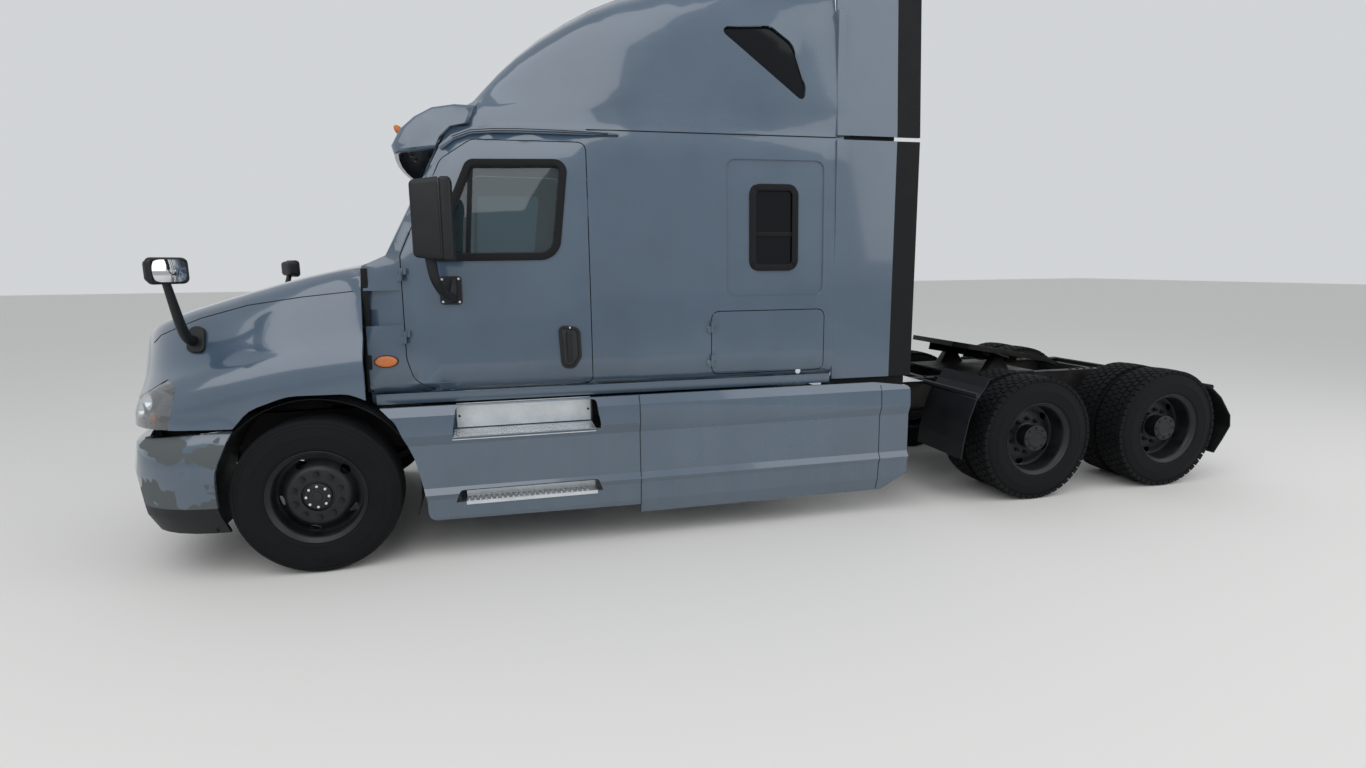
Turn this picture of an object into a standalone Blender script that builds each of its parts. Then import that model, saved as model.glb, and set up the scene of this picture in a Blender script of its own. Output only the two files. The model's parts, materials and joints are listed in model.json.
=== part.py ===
"""Tractor unit of an articulated lorry: a bonneted sleeper cab on three axles.

X points forward, Y to the driver's left and Z up, in metres. The model is laid out
from the middle of the front axle, at ground level, and hangs on one empty, which puts
the origin on the ground under the middle of the vehicle."""
import math

import bmesh
import bpy
from mathutils import Matrix, Vector

# Fits
SEAT = 0.0003              # gap between pieces that touch
RUN = 0.006                # running gap round doors and lids
BEARING = 0.0006           # running gap round spindles and pins
CUT = 0.08                 # overrun of a cutter
WELD = 0.004               # how far a welded piece runs into its neighbour

# Running gear
WHEELBASE = 6.063          # front axle to the middle of the drive axles
TANDEM = 1.32              # between the two drive axles
FRONT_OVERHANG = 1.25      # front axle to the nose of the bumper
REAR_OVERHANG = 1.337      # middle of the drive axles to the rear of the mud flaps
TYRE_R = 0.510
TYRE_W = 0.285
TYRE_FACE_Y = 1.215        # outer faces of the tyres
TWIN_GAP = 0.045
RIM_R = 0.299
BEAD_R = 0.286
DRUM_R = 0.215
WHEEL_STEPS = 20
KINGPIN_Y = 0.86
KINGPIN_R = 0.045
KINGPIN_L = 0.26
SPINDLE_R = 0.035
AXLE_SPINDLE_R = 0.065
AXLE_TUBE_R = 0.075
BANJO_R = 0.19
BEAM_H = 0.10
BEAM_W = 0.11
BEAM_DROP = 0.10           # how far the middle of the front beam hangs below its ends
SPRING_Y = 0.375
SPRING_W = 0.076
SPRING_T = 0.055
SPRING_L = 1.30
AIR_SPRING_R = 0.13
ARM_W = 0.09
ARM_T = 0.045
AIR_SPRING_X = 0.36        # behind its axle
SHAFT_R = 0.05

# Frame
RAIL_TOP = 0.93
RAIL_H = 0.265
RAIL_FLANGE = 0.09
RAIL_T = 0.010
FRAME_HALF = 0.43
RAIL_FRONT_X = 0.85
RAIL_REAR_X = -6.90
MEMBER_H = 0.12
MEMBER_W = 0.06
MEMBER_SHARES = (0.012, 0.31, 0.47, 0.64, 0.745, 0.90, 0.985)   # along the rails

# Cab
HOOD_REAR_X = -0.335
HOOD_FRONT_X = 1.13
HOOD_BASE_Z = 0.985
HOOD_TOP_Z = 1.97
BODY_HALF = 1.225          # wings and skirts
HOOD_RAKE = 0.12           # lean of the nose for its height
HOOD_T = 0.028
COWL_X = -0.350
BACK_X = -3.570
SILL_Z = 1.070
FLOOR_T = 0.060
SHELF_Z = 1.955            # front edge of the shelf under the windscreen
SHELF_SLOPE = 0.45         # rise of the shelf for its run backwards
SEAM_Z = 2.830             # seam between cab and roof
ROOF_Z = 3.950
CAB_HALF = 1.140           # at the back of the sleeper
WALL = 0.055
SCREEN_X = -0.365          # foot of the windscreen, in the middle
SCREEN_BOW = 0.11
SCREEN_BOW_HALF = 0.97
SCREEN_RAKE = 0.44         # how far the windscreen leans back up to the seam
TUBE_STEPS = 8             # sides of a bent tube
PART_STEPS = 12            # sides of a small turned piece
PIN_STEPS = 16
HUB_STEPS = 10
RIM_STEPS = 6
ARC_STEPS = 3              # faces of a rounded corner
ROW_STEPS = 2              # rows added between two of a table
CUT_DEPTH = 0.6            # reach of a cutter from the side
SCREEN_STEPS = 6
GLASS_T = 0.008
GLASS_IN = 0.018           # how far a pane lies below the paint
SPLIT_X = -1.200           # joint between front and side panels, above and below the door

# Doors: corners as (x, z, radius)
DOOR = ((-0.585, 2.020, 0.05), (-0.860, 2.620, 0.10), (-1.055, 2.749, 0.08), (-1.780, 2.745, 0.05),
        (-1.780, 1.142, 0.05), (-0.770, 1.142, 0.12), (-0.625, 1.215, 0.12), (-0.585, 1.360, 0.15))
DOOR_WINDOW = ((-0.745, 1.990, 0.05), (-1.025, 2.618, 0.06), (-1.652, 2.628, 0.07), (-1.575, 1.995, 0.13))
SLEEPER_WINDOW = ((-2.923, 2.497, 0.05), (-3.280, 2.497, 0.05), (-3.280, 1.900, 0.05), (-2.923, 1.900, 0.05))
SLEEPER_PANEL = ((-2.747, 2.667, 0.06), (-3.481, 2.667, 0.06), (-3.481, 1.717, 0.06), (-2.747, 1.717, 0.06))
PANEL_DEPTH = 0.012
DOOR_HINGE_Y = CAB_HALF - 0.028
DOOR_HINGE_Z = (1.50, 1.90)
LID_HINGE_Y = CAB_HALF + 0.010
LID_HINGE_Z = (1.27, 1.51)
BARREL_R = 0.010
BARREL_H = 0.040
TONGUE_L = 0.030
TONGUE_DEPTH = 0.040
LID = ((-2.637, 1.613, 0.05), (-3.495, 1.613, 0.05), (-3.495, 1.167, 0.05), (-2.637, 1.167, 0.05))
ROOF_WINDOW = ((-2.690, 3.535, 0.03), (-3.080, 3.560, 0.08), (-3.240, 3.450, 0.12), (-3.335, 3.160, 0.12),
               (-3.320, 3.055, 0.03))
SCREEN_FOOT_HALF = CAB_HALF * 0.755
SCREEN_HEAD_HALF = CAB_HALF * 0.693
SCREEN = ((SCREEN_FOOT_HALF, 2.030, 0.08), (-SCREEN_FOOT_HALF, 2.030, 0.08),
          (-SCREEN_HEAD_HALF, 2.745, 0.08), (SCREEN_HEAD_HALF, 2.745, 0.08))
COWL_SCOOP_X = (-0.330, -0.430, -0.572)    # front edge, end of the floor, where it runs out
COWL_SCOOP_Z = (1.575, 1.800)
COWL_SCOOP_DEPTH = 0.035
HEADLAMP = ((0.824, 0.900, 0.0), (1.300, 0.900, 0.0), (1.300, 1.040, 0.0), (0.950, 1.200, 0.10),
            (0.800, 1.287, 0.03), (0.733, 1.243, 0.02), (0.743, 1.171, 0.05))
HEADLAMP_Y = 0.605
HEADLAMP_T = 0.10

# Columns: share of the hood's length from its rear edge, then six pairs of shares,
# height above the hood's base and half-width, from the crown down to the wing
HOOD_SHARES = (
    (0.00, 1.000, 0.59, 0.975, 0.81, 0.827, 0.88, 0.523, 0.94, 0.442, 0.99, 0.299, 1.00),
    (0.23, 0.929, 0.56, 0.904, 0.77, 0.761, 0.85, 0.492, 0.92, 0.431, 0.98, 0.289, 1.00),
    (0.47, 0.838, 0.51, 0.812, 0.71, 0.690, 0.80, 0.442, 0.89, 0.381, 0.97, 0.249, 1.00),
    (0.74, 0.726, 0.44, 0.701, 0.64, 0.604, 0.72, 0.371, 0.82, 0.289, 0.91, 0.157, 0.95),
    (0.88, 0.660, 0.39, 0.635, 0.57, 0.553, 0.63, 0.320, 0.71, 0.218, 0.80, 0.107, 0.85),
    (0.955, 0.615, 0.35, 0.595, 0.49, 0.518, 0.53, 0.289, 0.59, 0.178, 0.67, 0.086, 0.73),
    (1.00, 0.570, 0.31, 0.550, 0.42, 0.485, 0.45, 0.269, 0.49, 0.157, 0.56, 0.076, 0.60))
HOOD_CROWN_SHARE = 0.02
# Columns: share of the cab's length from the cowl, half-width shares at sill, lower wall, belt, seam
CAB_SHARES = ((0.00, 0.90, 0.965, 0.950, 0.880),
              (0.25, 0.92, 0.975, 0.960, 0.905),
              (0.50, 0.93, 0.985, 0.980, 0.950),
              (1.00, 0.94, 1.000, 1.000, 0.985))
CAB_HEIGHT_SHARES = (0.0, 0.07, 0.50, 1.0)
# Columns: share of the roof's length, height share, then width shares of the cab's seam below:
# base, ledge, shoulder and top
ROOF_X = -0.80
ROOF_SHARES = ((0.000, 0.075, 0.47, 0.01, 0.44, 0.34),
               (0.035, 0.095, 0.88, 0.02, 0.82, 0.64),
               (0.070, 0.125, 0.98, 0.05, 0.88, 0.72),
               (0.102, 0.180, 1.00, 0.06, 0.90, 0.73),
               (0.160, 0.344, 1.00, 0.05, 0.91, 0.74),
               (0.205, 0.446, 1.00, 0.04, 0.92, 0.75),
               (0.257, 0.543, 1.00, 0.03, 0.93, 0.76),
               (0.322, 0.643, 1.00, 0.02, 0.94, 0.77),
               (0.387, 0.729, 1.00, 0.01, 0.95, 0.78),
               (0.453, 0.796, 1.00, 0.00, 0.955, 0.79),
               (0.600, 0.900, 1.00, 0.00, 0.96, 0.80),
               (0.800, 0.975, 1.00, 0.00, 0.965, 0.81),
               (1.000, 1.000, 1.00, 0.00, 0.965, 0.82))
ROOF_BAND = 0.127          # upright band above the seam
BAND_SHARE = 0.80          # the most of the roof's height that the band takes
# Share of the height above the band, for ledge, shoulder, bend and top
ROOF_RISE_SHARES = (0.10, 0.62, 0.88, 1.00)
ROOF_CROWN_SHARE = 0.03

# Arch in the wings, and the gap between hood, bumper and skirts
ARCH = ((-0.720, 0.150, 0.0), (-0.665, 0.480, 0.3), (-0.560, 0.800, 0.3), (-0.420, 1.080, 0.15),
        (-0.240, 1.168, 0.2), (0.110, 1.172, 0.3), (0.330, 1.095, 0.2), (0.450, 0.960, 0.2),
        (0.555, 0.720, 0.3), (0.565, 0.500, 0.2), (0.490, 0.150, 0.0))

# Bumper. Plan columns: shares of the front overhang, of the body's half-width and of the rise
BUMPER_PLAN_SHARES = ((1.000, 0.00, 0.0), (0.990, 0.22, 0.0), (0.966, 0.41, 0.0), (0.935, 0.57, 0.0),
                      (0.895, 0.70, 0.05), (0.838, 0.82, 0.15), (0.780, 0.88, 0.3), (0.700, 0.935, 0.5),
                      (0.600, 0.975, 0.7), (0.500, 0.995, 0.85), (0.400, 1.00, 1.0), (0.280, 1.00, 1.0))
BUMPER_TOP = 0.895
BUMPER_RISE = 0.065
BUMPER_FOOT = 0.310
BUMPER_T = 0.030
BUMPER_TUCK = 0.090
# Columns: height share, share of the tuck
BUMPER_SECTION_SHARES = ((1.00, 0.80), (0.95, 0.30), (0.66, 0.00), (0.47, 0.11), (0.20, 0.33),
                         (0.10, 0.66), (0.00, 1.00))
HINGE_X = 1.09
HINGE_Z = 0.96
HINGE_Y = 0.47
HINGE_W = 0.020

# Grille
GRILLE_HALF = 0.48
GRILLE_LOW = 1.03
GRILLE_TOP = 1.44
GRILLE_T = 0.045
GRILLE_RIM = 0.030
GRILLE_SLOTS = 6
GRILLE_BAR = 0.022

# Skirts and steps
SKIRT_TOP = 1.055
SKIRT_FOOT = 0.200
SKIRT_T = 0.025
SKIRT_SPLIT_X = -2.090
SKIRT_REAR_X = -4.195
# Columns: height share, how far in from the body's half-width as a share of the tuck
SKIRT_TUCK = 0.060
SKIRT_SHARES = ((1.000, 0.70), (0.930, 0.15), (0.780, 0.00), (0.700, 0.45), (0.360, 0.40), (0.310, 0.00),
                (0.270, 0.30), (0.120, 0.45), (0.000, 1.00))
SKIRT_FRONT = ((-0.405, 1.055, 0.0), (-0.494, 0.965, 0.1), (-0.599, 0.709, 0.2), (-0.658, 0.433, 0.1),
               (-0.665, 0.285, 0.05), (-2.090, 0.265, 0.0), (-2.090, 1.055, 0.0))
SKIRT_REAR = ((-2.090, 1.055, 0.0), (-2.090, 0.200, 0.0), (-4.000, 0.200, 0.05), (-4.195, 0.330, 0.0),
              (-4.195, 1.020, 0.04), (-3.900, 1.055, 0.0))
STEP_X = (-0.840, -1.790)
STEP_TOPS = (0.845, 0.400)
STEP_OPEN_H = (0.200, 0.085)
STEP_T = 0.030
STEP_BOX_Y = (0.52, 0.96)
STEP_BOX_Z = (0.36, 1.00)

# Fuel tanks
TANK_X = (-2.25, -3.55)
TANK_R = 0.300
TANK_Y = 0.80
TANK_Z = 0.640
TANK_STEPS = 16
STRAP_W = 0.06
STRAP_T = 0.008
ARM_H = 0.05

# Behind the cab
EXTENDER_END_X = -4.225
EXTENDER_T = 0.022
EXTENDER_TOP = 3.930
EXTENDER_GAP = 0.030
EXTENDER_FOOT = 1.090
DECK_X = (-3.70, -4.70)
DECK_T = 0.006
DECK_HALF = 0.62
PLATE_FRONT_X = -5.150
PLATE_L = 0.920
RAMP_L = 0.180
RAMP_DROP = 0.045
PLATE_HALF = 0.46
PLATE_T = 0.045
PLATE_TILT = 10.0          # degrees, rear end down
PLATE_PIVOT_Z = 1.075
PLATE_PIVOT_SHARE = 0.50
PLATE_RIB_H = 0.07
THROAT_HALF = 0.30
THROAT_L = 0.42
THROAT_R = 0.055
TRUNNION_R = 0.022
PEDESTAL_W = 0.09
PEDESTAL_L = 0.26
SLIDE_T = 0.015
FENDER_T = 0.008
FENDER_Y = (0.600, 1.215)
# Points ahead of the first drive axle, and above the ground, from the foot up
FENDER = ((0.723, 0.400), (0.708, 0.535), (0.668, 0.720), (0.613, 0.870), (0.543, 0.960), (0.500, 1.040))
FENDER_TUBE = (0.606, 0.905)
FENDER_TUBE_R = 0.022
FLAP_W = 0.60
FLAP_T = 0.012
# Points behind the middle of the drive axles, and above the ground, from the top down
FLAP = ((1.080, 0.856), (1.200, 0.760), (1.325, 0.590), (1.337, 0.490), (1.262, 0.370), (1.185, 0.260))
TAIL_TUBE_R = 0.03

# Mirrors
MIRROR_X = (-0.700, -0.886)
MIRROR_Y = (1.345, 1.560)
MIRROR_Z = (1.975, 2.469)
MIRROR_ARM_R = 0.018
MIRROR_PAD_X = -0.880
MIRROR_PAD_Z = 1.800
MIRROR_PAD = 0.10
HOOD_MIRROR_X = 0.616
HOOD_MIRROR_Y = BODY_HALF + 0.105
HOOD_MIRROR_Z = 1.937
HOOD_MIRROR_W = 0.25
HOOD_MIRROR_H = 0.155
HOOD_MIRROR_T = 0.11
HOOD_MIRROR_PAD = (0.100, 0.150)
HOOD_MIRROR_FOOT = (0.650, BODY_HALF * 0.69, 1.500)
HOOD_MIRROR_KNEE = (0.690, BODY_HALF * 0.82, 1.510)
HOOD_ARM_R = 0.020

# Visor: its top from the lip back, then the lower edge of its end walls, as (x, z)
VISOR_TOP = ((-0.590, 2.650), (-0.575, 2.700), (-0.630, 2.800), (-0.720, 2.880), (-0.830, 2.940),
             (-0.970, 2.965), (-1.110, 2.962))
VISOR_END = ((-1.055, 2.850), (-0.945, 2.825), (-0.866, 2.748), (-0.836, 2.684))
VISOR_T = 0.030
VISOR_HALF = CAB_HALF * 0.925
VISOR_BOW = 0.060
VISOR_MIDDLE = (-0.840, 2.830)
VISOR_ROUND_SHARE = 0.16   # how far its end outline draws in towards the middle
# Columns: share of the half-width, share of the rounding
VISOR_STATION_SHARES = ((-1.0, 1.0), (-0.992, 0.45), (-0.975, 0.1), (-0.95, 0.0), (-0.7, 0.0), (-0.35, 0.0),
                        (0.0, 0.0), (0.35, 0.0), (0.7, 0.0), (0.95, 0.0), (0.975, 0.1), (0.992, 0.45),
                        (1.0, 1.0))

# Inside
ENGINE_X = (0.50, -0.30)
ENGINE_HALF = 0.30
ENGINE_Z = (0.74, 1.55)
RADIATOR_X = (0.66, 0.76)
RADIATOR_HALF = 0.41
RADIATOR_Z = (0.95, 1.50)
FAN_R = 0.06
GEARBOX_X = -1.35
GEARBOX_R = 0.19
SHAFT_Z = 0.72
DASH_X = -0.80
DASH_Z = (1.50, 1.93)
WHEEL_RIM_R = 0.22
WHEEL_RIM_T = 0.016
WHEEL_TILT = 35.0
SEAT_X = -1.45
SEAT_Y = 0.55
SEAT_W = 0.52
SEAT_D = 0.50
SEAT_H = 0.48
BUNK_X = -2.55
BUNK_Z = 1.62
BUNK_T = 0.16

OUTSIDE = max(BODY_HALF, CAB_HALF) + CUT   # beyond every skin
DRIVE_AXLES = (-WHEELBASE + TANDEM / 2, -WHEELBASE - TANDEM / 2)
SIDES = (("left", 1), ("right", -1))

for leftover in list(bpy.data.objects):
    bpy.data.objects.remove(leftover)


def mesh_object(name, bm):
    """Close a bmesh into a named object whose faces point outwards."""
    bmesh.ops.recalc_face_normals(bm, faces=bm.faces)
    mesh = bpy.data.meshes.new(name)
    bm.to_mesh(mesh)
    bm.free()
    thing = bpy.data.objects.new(name, mesh)
    bpy.context.collection.objects.link(thing)
    return thing


def loft(name, rings, wrap=False, split=False):
    """Skin a row of rings with equal counts; the ends are capped, or joined by wrap.
    split parts each quad, alike on both sides of the vehicle, so that offset skins stay parallel."""
    bm = bmesh.new()
    rows = [[bm.verts.new(point) for point in ring] for ring in rings]
    pairs = list(zip(rows, rows[1:]))
    if wrap:
        pairs.append((rows[-1], rows[0]))
    for row, following in pairs:
        for i, corner in enumerate(row):
            quad = (row[i - 1], corner, following[i], following[i - 1])
            if not split:
                bm.faces.new(quad)
            elif i <= len(row) / 2:
                bm.faces.new((quad[0], quad[1], quad[2]))
                bm.faces.new((quad[0], quad[2], quad[3]))
            else:
                bm.faces.new((quad[0], quad[1], quad[3]))
                bm.faces.new((quad[1], quad[2], quad[3]))
    if not wrap:
        bm.faces.new(rows[0])
        bm.faces.new(rows[-1])
    return mesh_object(name, bm)


def prism(name, outline, axis, low, high):
    """Extrude an outline of pairs along X, Y or Z."""
    place = {"X": lambda u, v, w: (w, u, v), "Y": lambda u, v, w: (u, w, v), "Z": lambda u, v, w: (u, v, w)}
    return loft(name, [[place[axis](u, v, end) for u, v in outline] for end in (low, high)])


def block(name, x, y, z):
    """A box between pairs of limits."""
    return prism(name, [(y[0], z[0]), (y[1], z[0]), (y[1], z[1]), (y[0], z[1])], "X", x[0], x[1])


def turned(name, profile, centre, axis="Y", steps=WHEEL_STEPS, wrap=False):
    """Spin a profile of (radius, distance along the axis) round an axis through centre."""
    def point(radius, along, angle):
        u, v = radius * math.cos(angle), radius * math.sin(angle)
        offset = {"X": (along, u, v), "Y": (u, along, v), "Z": (u, v, along)}[axis]
        return Vector(centre) + Vector(offset)
    rings = [[point(radius, along, math.tau * k / steps) for k in range(steps)] for radius, along in profile]
    return loft(name, rings, wrap)


def tube(name, path, radius, steps=TUBE_STEPS):
    """A round bar along a path of points, mitred at its corners."""
    path = [Vector(p) for p in path]
    rings = []
    side = None
    for i, here in enumerate(path):
        before = (here - path[i - 1]).normalized() if i else None
        after = (path[i + 1] - here).normalized() if i + 1 < len(path) else None
        run = after or before
        run = (before + after).normalized() if before and after else run
        spread = 1 / max(run.dot(before or run), 0.5)
        if side is None:
            side = run.orthogonal().normalized()
        side = (side - run * side.dot(run)).normalized()
        up = run.cross(side)
        rings.append([here + (side * math.cos(math.tau * k / steps) + up * math.sin(math.tau * k / steps))
                      * radius * spread for k in range(steps)])
    return loft(name, rings)


def boolean(target, tool, operation="DIFFERENCE"):
    """Cut, join or intersect, and drop the tool."""
    modifier = target.modifiers.new("boolean", "BOOLEAN")
    modifier.object = tool
    modifier.operation = operation
    modifier.solver = "EXACT"
    bpy.context.view_layer.update()
    shape = target.evaluated_get(bpy.context.evaluated_depsgraph_get())
    mesh = bpy.data.meshes.new_from_object(shape)
    target.modifiers.clear()
    target.data = mesh
    bpy.data.objects.remove(tool)
    return target


def join(target, *tools):
    """Weld overlapping solids into one."""
    for tool in tools:
        boolean(target, tool, "UNION")
    return target


def gather(name, things):
    """Put loose solids into one object, for use as a cutter."""
    bm = bmesh.new()
    for thing in things:
        bm.from_mesh(thing.data)
        bpy.data.objects.remove(thing)
    return mesh_object(name, bm)


def copy(thing, name):
    twin = bpy.data.objects.new(name, thing.data.copy())
    bpy.context.collection.objects.link(twin)
    return twin


def mirrored(thing, name):
    """The same piece on the other side of the vehicle."""
    twin = copy(thing, name)
    twin.data.transform(Matrix.Scale(-1, 4, (0, 1, 0)))
    twin.data.flip_normals()
    return twin


def rounded(corners, steps=ARC_STEPS):
    """Turn corners of (u, v, radius) into outline points with arcs."""
    outline = []
    for i, (u, v, radius) in enumerate(corners):
        here = Vector((u, v))
        before = (Vector(corners[i - 1][:2]) - here).normalized()
        after = (Vector(corners[(i + 1) % len(corners)][:2]) - here).normalized()
        if radius == 0:
            outline.append(tuple(here))
            continue
        half = before.angle(after) / 2
        middle = here + (before + after).normalized() * radius / math.sin(half)
        reach = radius / math.tan(half)
        start, end = here + before * reach - middle, here + after * reach - middle
        for k in range(steps + 1):
            outline.append(tuple(middle + start.normalized().slerp(end.normalized(), k / steps) * radius))
    return outline


def offset(outline, distance):
    """Grow an outline by a distance, or shrink it by a negative one."""
    points = [Vector(p) for p in outline]
    count = len(points)
    area = sum(points[i - 1].cross(points[i]) for i in range(count))
    turn = 1 if area > 0 else -1
    grown = []
    for i, here in enumerate(points):
        before = (here - points[i - 1]).normalized()
        after = (points[(i + 1) % count] - here).normalized()
        normals = [Vector((d.y, -d.x)) * turn for d in (before, after)]
        middle = (normals[0] + normals[1]).normalized()
        grown.append(tuple(here + middle * distance / middle.dot(normals[0])))
    return grown


def beside(points, distance):
    """The same open line, moved sideways by a distance."""
    moved = []
    for i, point in enumerate(points):
        here = Vector(point)
        before = Vector(points[max(i - 1, 0)])
        after = Vector(points[min(i + 1, len(points) - 1)])
        run = ((here - before).normalized() + (after - here).normalized()).normalized()
        moved.append(tuple(here + Vector((run.y, -run.x)) * distance))
    return moved


def smooth_rows(rows, steps=ROW_STEPS):
    """Put rows between the rows of a table, on a smooth curve through each column."""
    filled = []
    for i in range(len(rows) - 1):
        near = [Vector(rows[min(max(k, 0), len(rows) - 1)]) for k in (i - 1, i, i + 1, i + 2)]
        for k in range(steps):
            t = k / steps
            bend = near[1] * 2 + (near[2] - near[0]) * t
            bend += (near[0] * 2 - near[1] * 5 + near[2] * 4 - near[3]) * t * t
            bend += (near[1] * 3 - near[0] - near[2] * 3 + near[3]) * t * t * t
            filled.append(bend / 2)
    return filled + [Vector(rows[-1])]


def full_ring(x, half, crown):
    """Mirror half a section, listed from the bottom up, and close it over a crown height."""
    left = [(x, y, z) for y, z in half]
    return left + [(x, 0, crown)] + [(x, -y, z) for _, y, z in reversed(left)]


def finish(thing, colour, roughness, metallic=0.0):
    """Give the piece its own material and smooth shading between sharp edges."""
    material = bpy.data.materials.new(thing.name)
    material.use_nodes = True
    shader = material.node_tree.nodes["Principled BSDF"]
    shader.inputs["Base Color"].default_value = (*colour, 1)
    shader.inputs["Roughness"].default_value = roughness
    shader.inputs["Metallic"].default_value = metallic
    thing.data.materials.clear()
    thing.data.materials.append(material)
    thing.data.shade_smooth()
    thing.data.set_sharp_from_angle(angle=math.radians(30))
    return thing


PAINT = ((0.10, 0.12, 0.14), 0.3)
PLASTIC = ((0.02, 0.02, 0.022), 0.6)
STEEL = ((0.03, 0.03, 0.032), 0.5, 0.6)
ALUMINIUM = ((0.6, 0.6, 0.6), 0.35, 1.0)
RUBBER = ((0.02, 0.02, 0.02), 0.85)
GLASS = ((0.05, 0.07, 0.08), 0.05)
CLOTH = ((0.06, 0.06, 0.065), 0.9)

vehicle = bpy.data.objects.new("vehicle", None)
bpy.context.collection.objects.link(vehicle)
vehicle.location.x = (WHEELBASE + REAR_OVERHANG - FRONT_OVERHANG) / 2


def pivot(name, place):
    """An empty on a joint's axis, at a place given in the vehicle's layout."""
    empty = bpy.data.objects.new(name, None)
    bpy.context.collection.objects.link(empty)
    empty.parent = vehicle
    empty.location = place
    return empty


def hang(thing, parent, look):
    """Finish a piece and hang it on an empty without moving it."""
    finish(thing, *look)
    if parent is not vehicle:
        thing.data.transform(Matrix.Translation(-parent.location))
    thing.parent = parent
    return thing


def cab_solid(name, inset, head):
    """The cab below the roof seam; head is how far it runs past the seam."""
    rings = []
    length = COWL_X - BACK_X
    for share, *halves in CAB_SHARES:
        x = COWL_X - share * length
        if share == 0:
            x -= inset
        if share == 1:
            x += inset
        half = []
        for height, width in zip(CAB_HEIGHT_SHARES, halves):
            z = SILL_Z + height * (SEAM_Z - SILL_Z)
            half.append([width * CAB_HALF - inset, z])
        half[0][1] += FLOOR_T if inset >= WALL else inset
        if head:
            half.append([half[-1][0], half[-1][1] + head])
        rings.append([(x, y, z) for y, z in half] + [(x, -y, z) for y, z in reversed(half)])
    body = loft(name, rings, split=True)
    rake = SCREEN_RAKE / (SEAM_Z - SHELF_Z)
    sheets = []
    for z, slope in ((SHELF_Z - inset, SHELF_SLOPE), (SEAM_Z + head + CUT, 0)):
        lean = (z - SHELF_Z) * rake + inset
        sheet = [(COWL_X + CUT, -OUTSIDE)]
        for k in range(-SCREEN_STEPS, SCREEN_STEPS + 1):
            y = k / SCREEN_STEPS * OUTSIDE
            sheet.append((SCREEN_X - SCREEN_BOW * (y / SCREEN_BOW_HALF) ** 2 - lean, y))
        sheet.append((COWL_X + CUT, OUTSIDE))
        sheets.append([(x, y, z + (COWL_X - x) * slope) for x, y in sheet])
    return boolean(body, loft("screen_cutter", sheets, split=True))


def seam_half(x):
    """Half-width of the cab at the roof seam."""
    share = (COWL_X - x) / (COWL_X - BACK_X)
    for near, far in zip(CAB_SHARES, CAB_SHARES[1:]):
        if share <= far[0]:
            break
    t = (share - near[0]) / (far[0] - near[0])
    return (near[-1] + (far[-1] - near[-1]) * t) * CAB_HALF


def roof_solid(name, inset, foot):
    """The raised roof; foot is how far it starts below the seam."""
    rings = []
    length = ROOF_X - BACK_X
    for share, high, base, ledge, shoulder, top in ROOF_SHARES:
        x = ROOF_X - share * length
        wide = seam_half(x)
        if share == 0:
            x -= inset
        if share == 1:
            x += inset
        rise = high * (ROOF_Z - SEAM_Z) - inset
        band = min(ROOF_BAND - inset, rise * BAND_SHARE)
        half = [(base * wide - inset, SEAM_Z + SEAT - foot), (base * wide - inset, SEAM_Z + band)]
        if foot:
            half.insert(1, (base * wide - inset, SEAM_Z + SEAT))
        widths = (base - ledge, shoulder, (shoulder * 2 + top) / 3, top)
        for width, up in zip(widths, ROOF_RISE_SHARES):
            half.append((width * wide - inset, SEAM_Z + band + (rise - band) * up))
        rings.append(full_ring(x, half, SEAM_Z + rise * (1 + ROOF_CROWN_SHARE)))
    return loft(name, rings, split=True)


def lean_back(spot, share):
    """Move a point of the hood back by its height, more so towards the nose."""
    x, y, z = spot
    return (x - HOOD_RAKE * share * share * share * (z - HOOD_BASE_Z), y, z)


def hood_solid(name, inset, foot, tail):
    """The hood with its wings; foot and tail are how far it runs past its base and rear edge."""
    rings = []
    length = HOOD_FRONT_X - HOOD_REAR_X
    height = HOOD_TOP_Z - HOOD_BASE_Z
    for share, *columns in smooth_rows(HOOD_SHARES):
        x = HOOD_REAR_X + share * length
        if share == 0:
            x -= tail
        if share == 1:
            x -= inset
        pairs = smooth_rows(list(zip(columns[::2], columns[1::2])))
        section = [(wide * BODY_HALF - inset, HOOD_BASE_Z + high * height - inset) for high, wide in pairs]
        section.append((section[-1][0], HOOD_BASE_Z - foot))
        ring = full_ring(x, section[::-1], section[0][1] + HOOD_CROWN_SHARE * height)
        rings.append([lean_back(spot, share) for spot in ring])
    return loft(name, rings, split=True)


def arch_cutter():
    return prism("arch_cutter", rounded(ARCH, ROW_STEPS), "Y", -OUTSIDE, OUTSIDE)


def side_prism(name, outline, side, depth=CUT_DEPTH):
    """Extrude an outline of (x, z) through one side of the cab."""
    ends = sorted((side * depth, side * OUTSIDE))
    return prism(name, outline, "Y", ends[0], ends[1])


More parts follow.
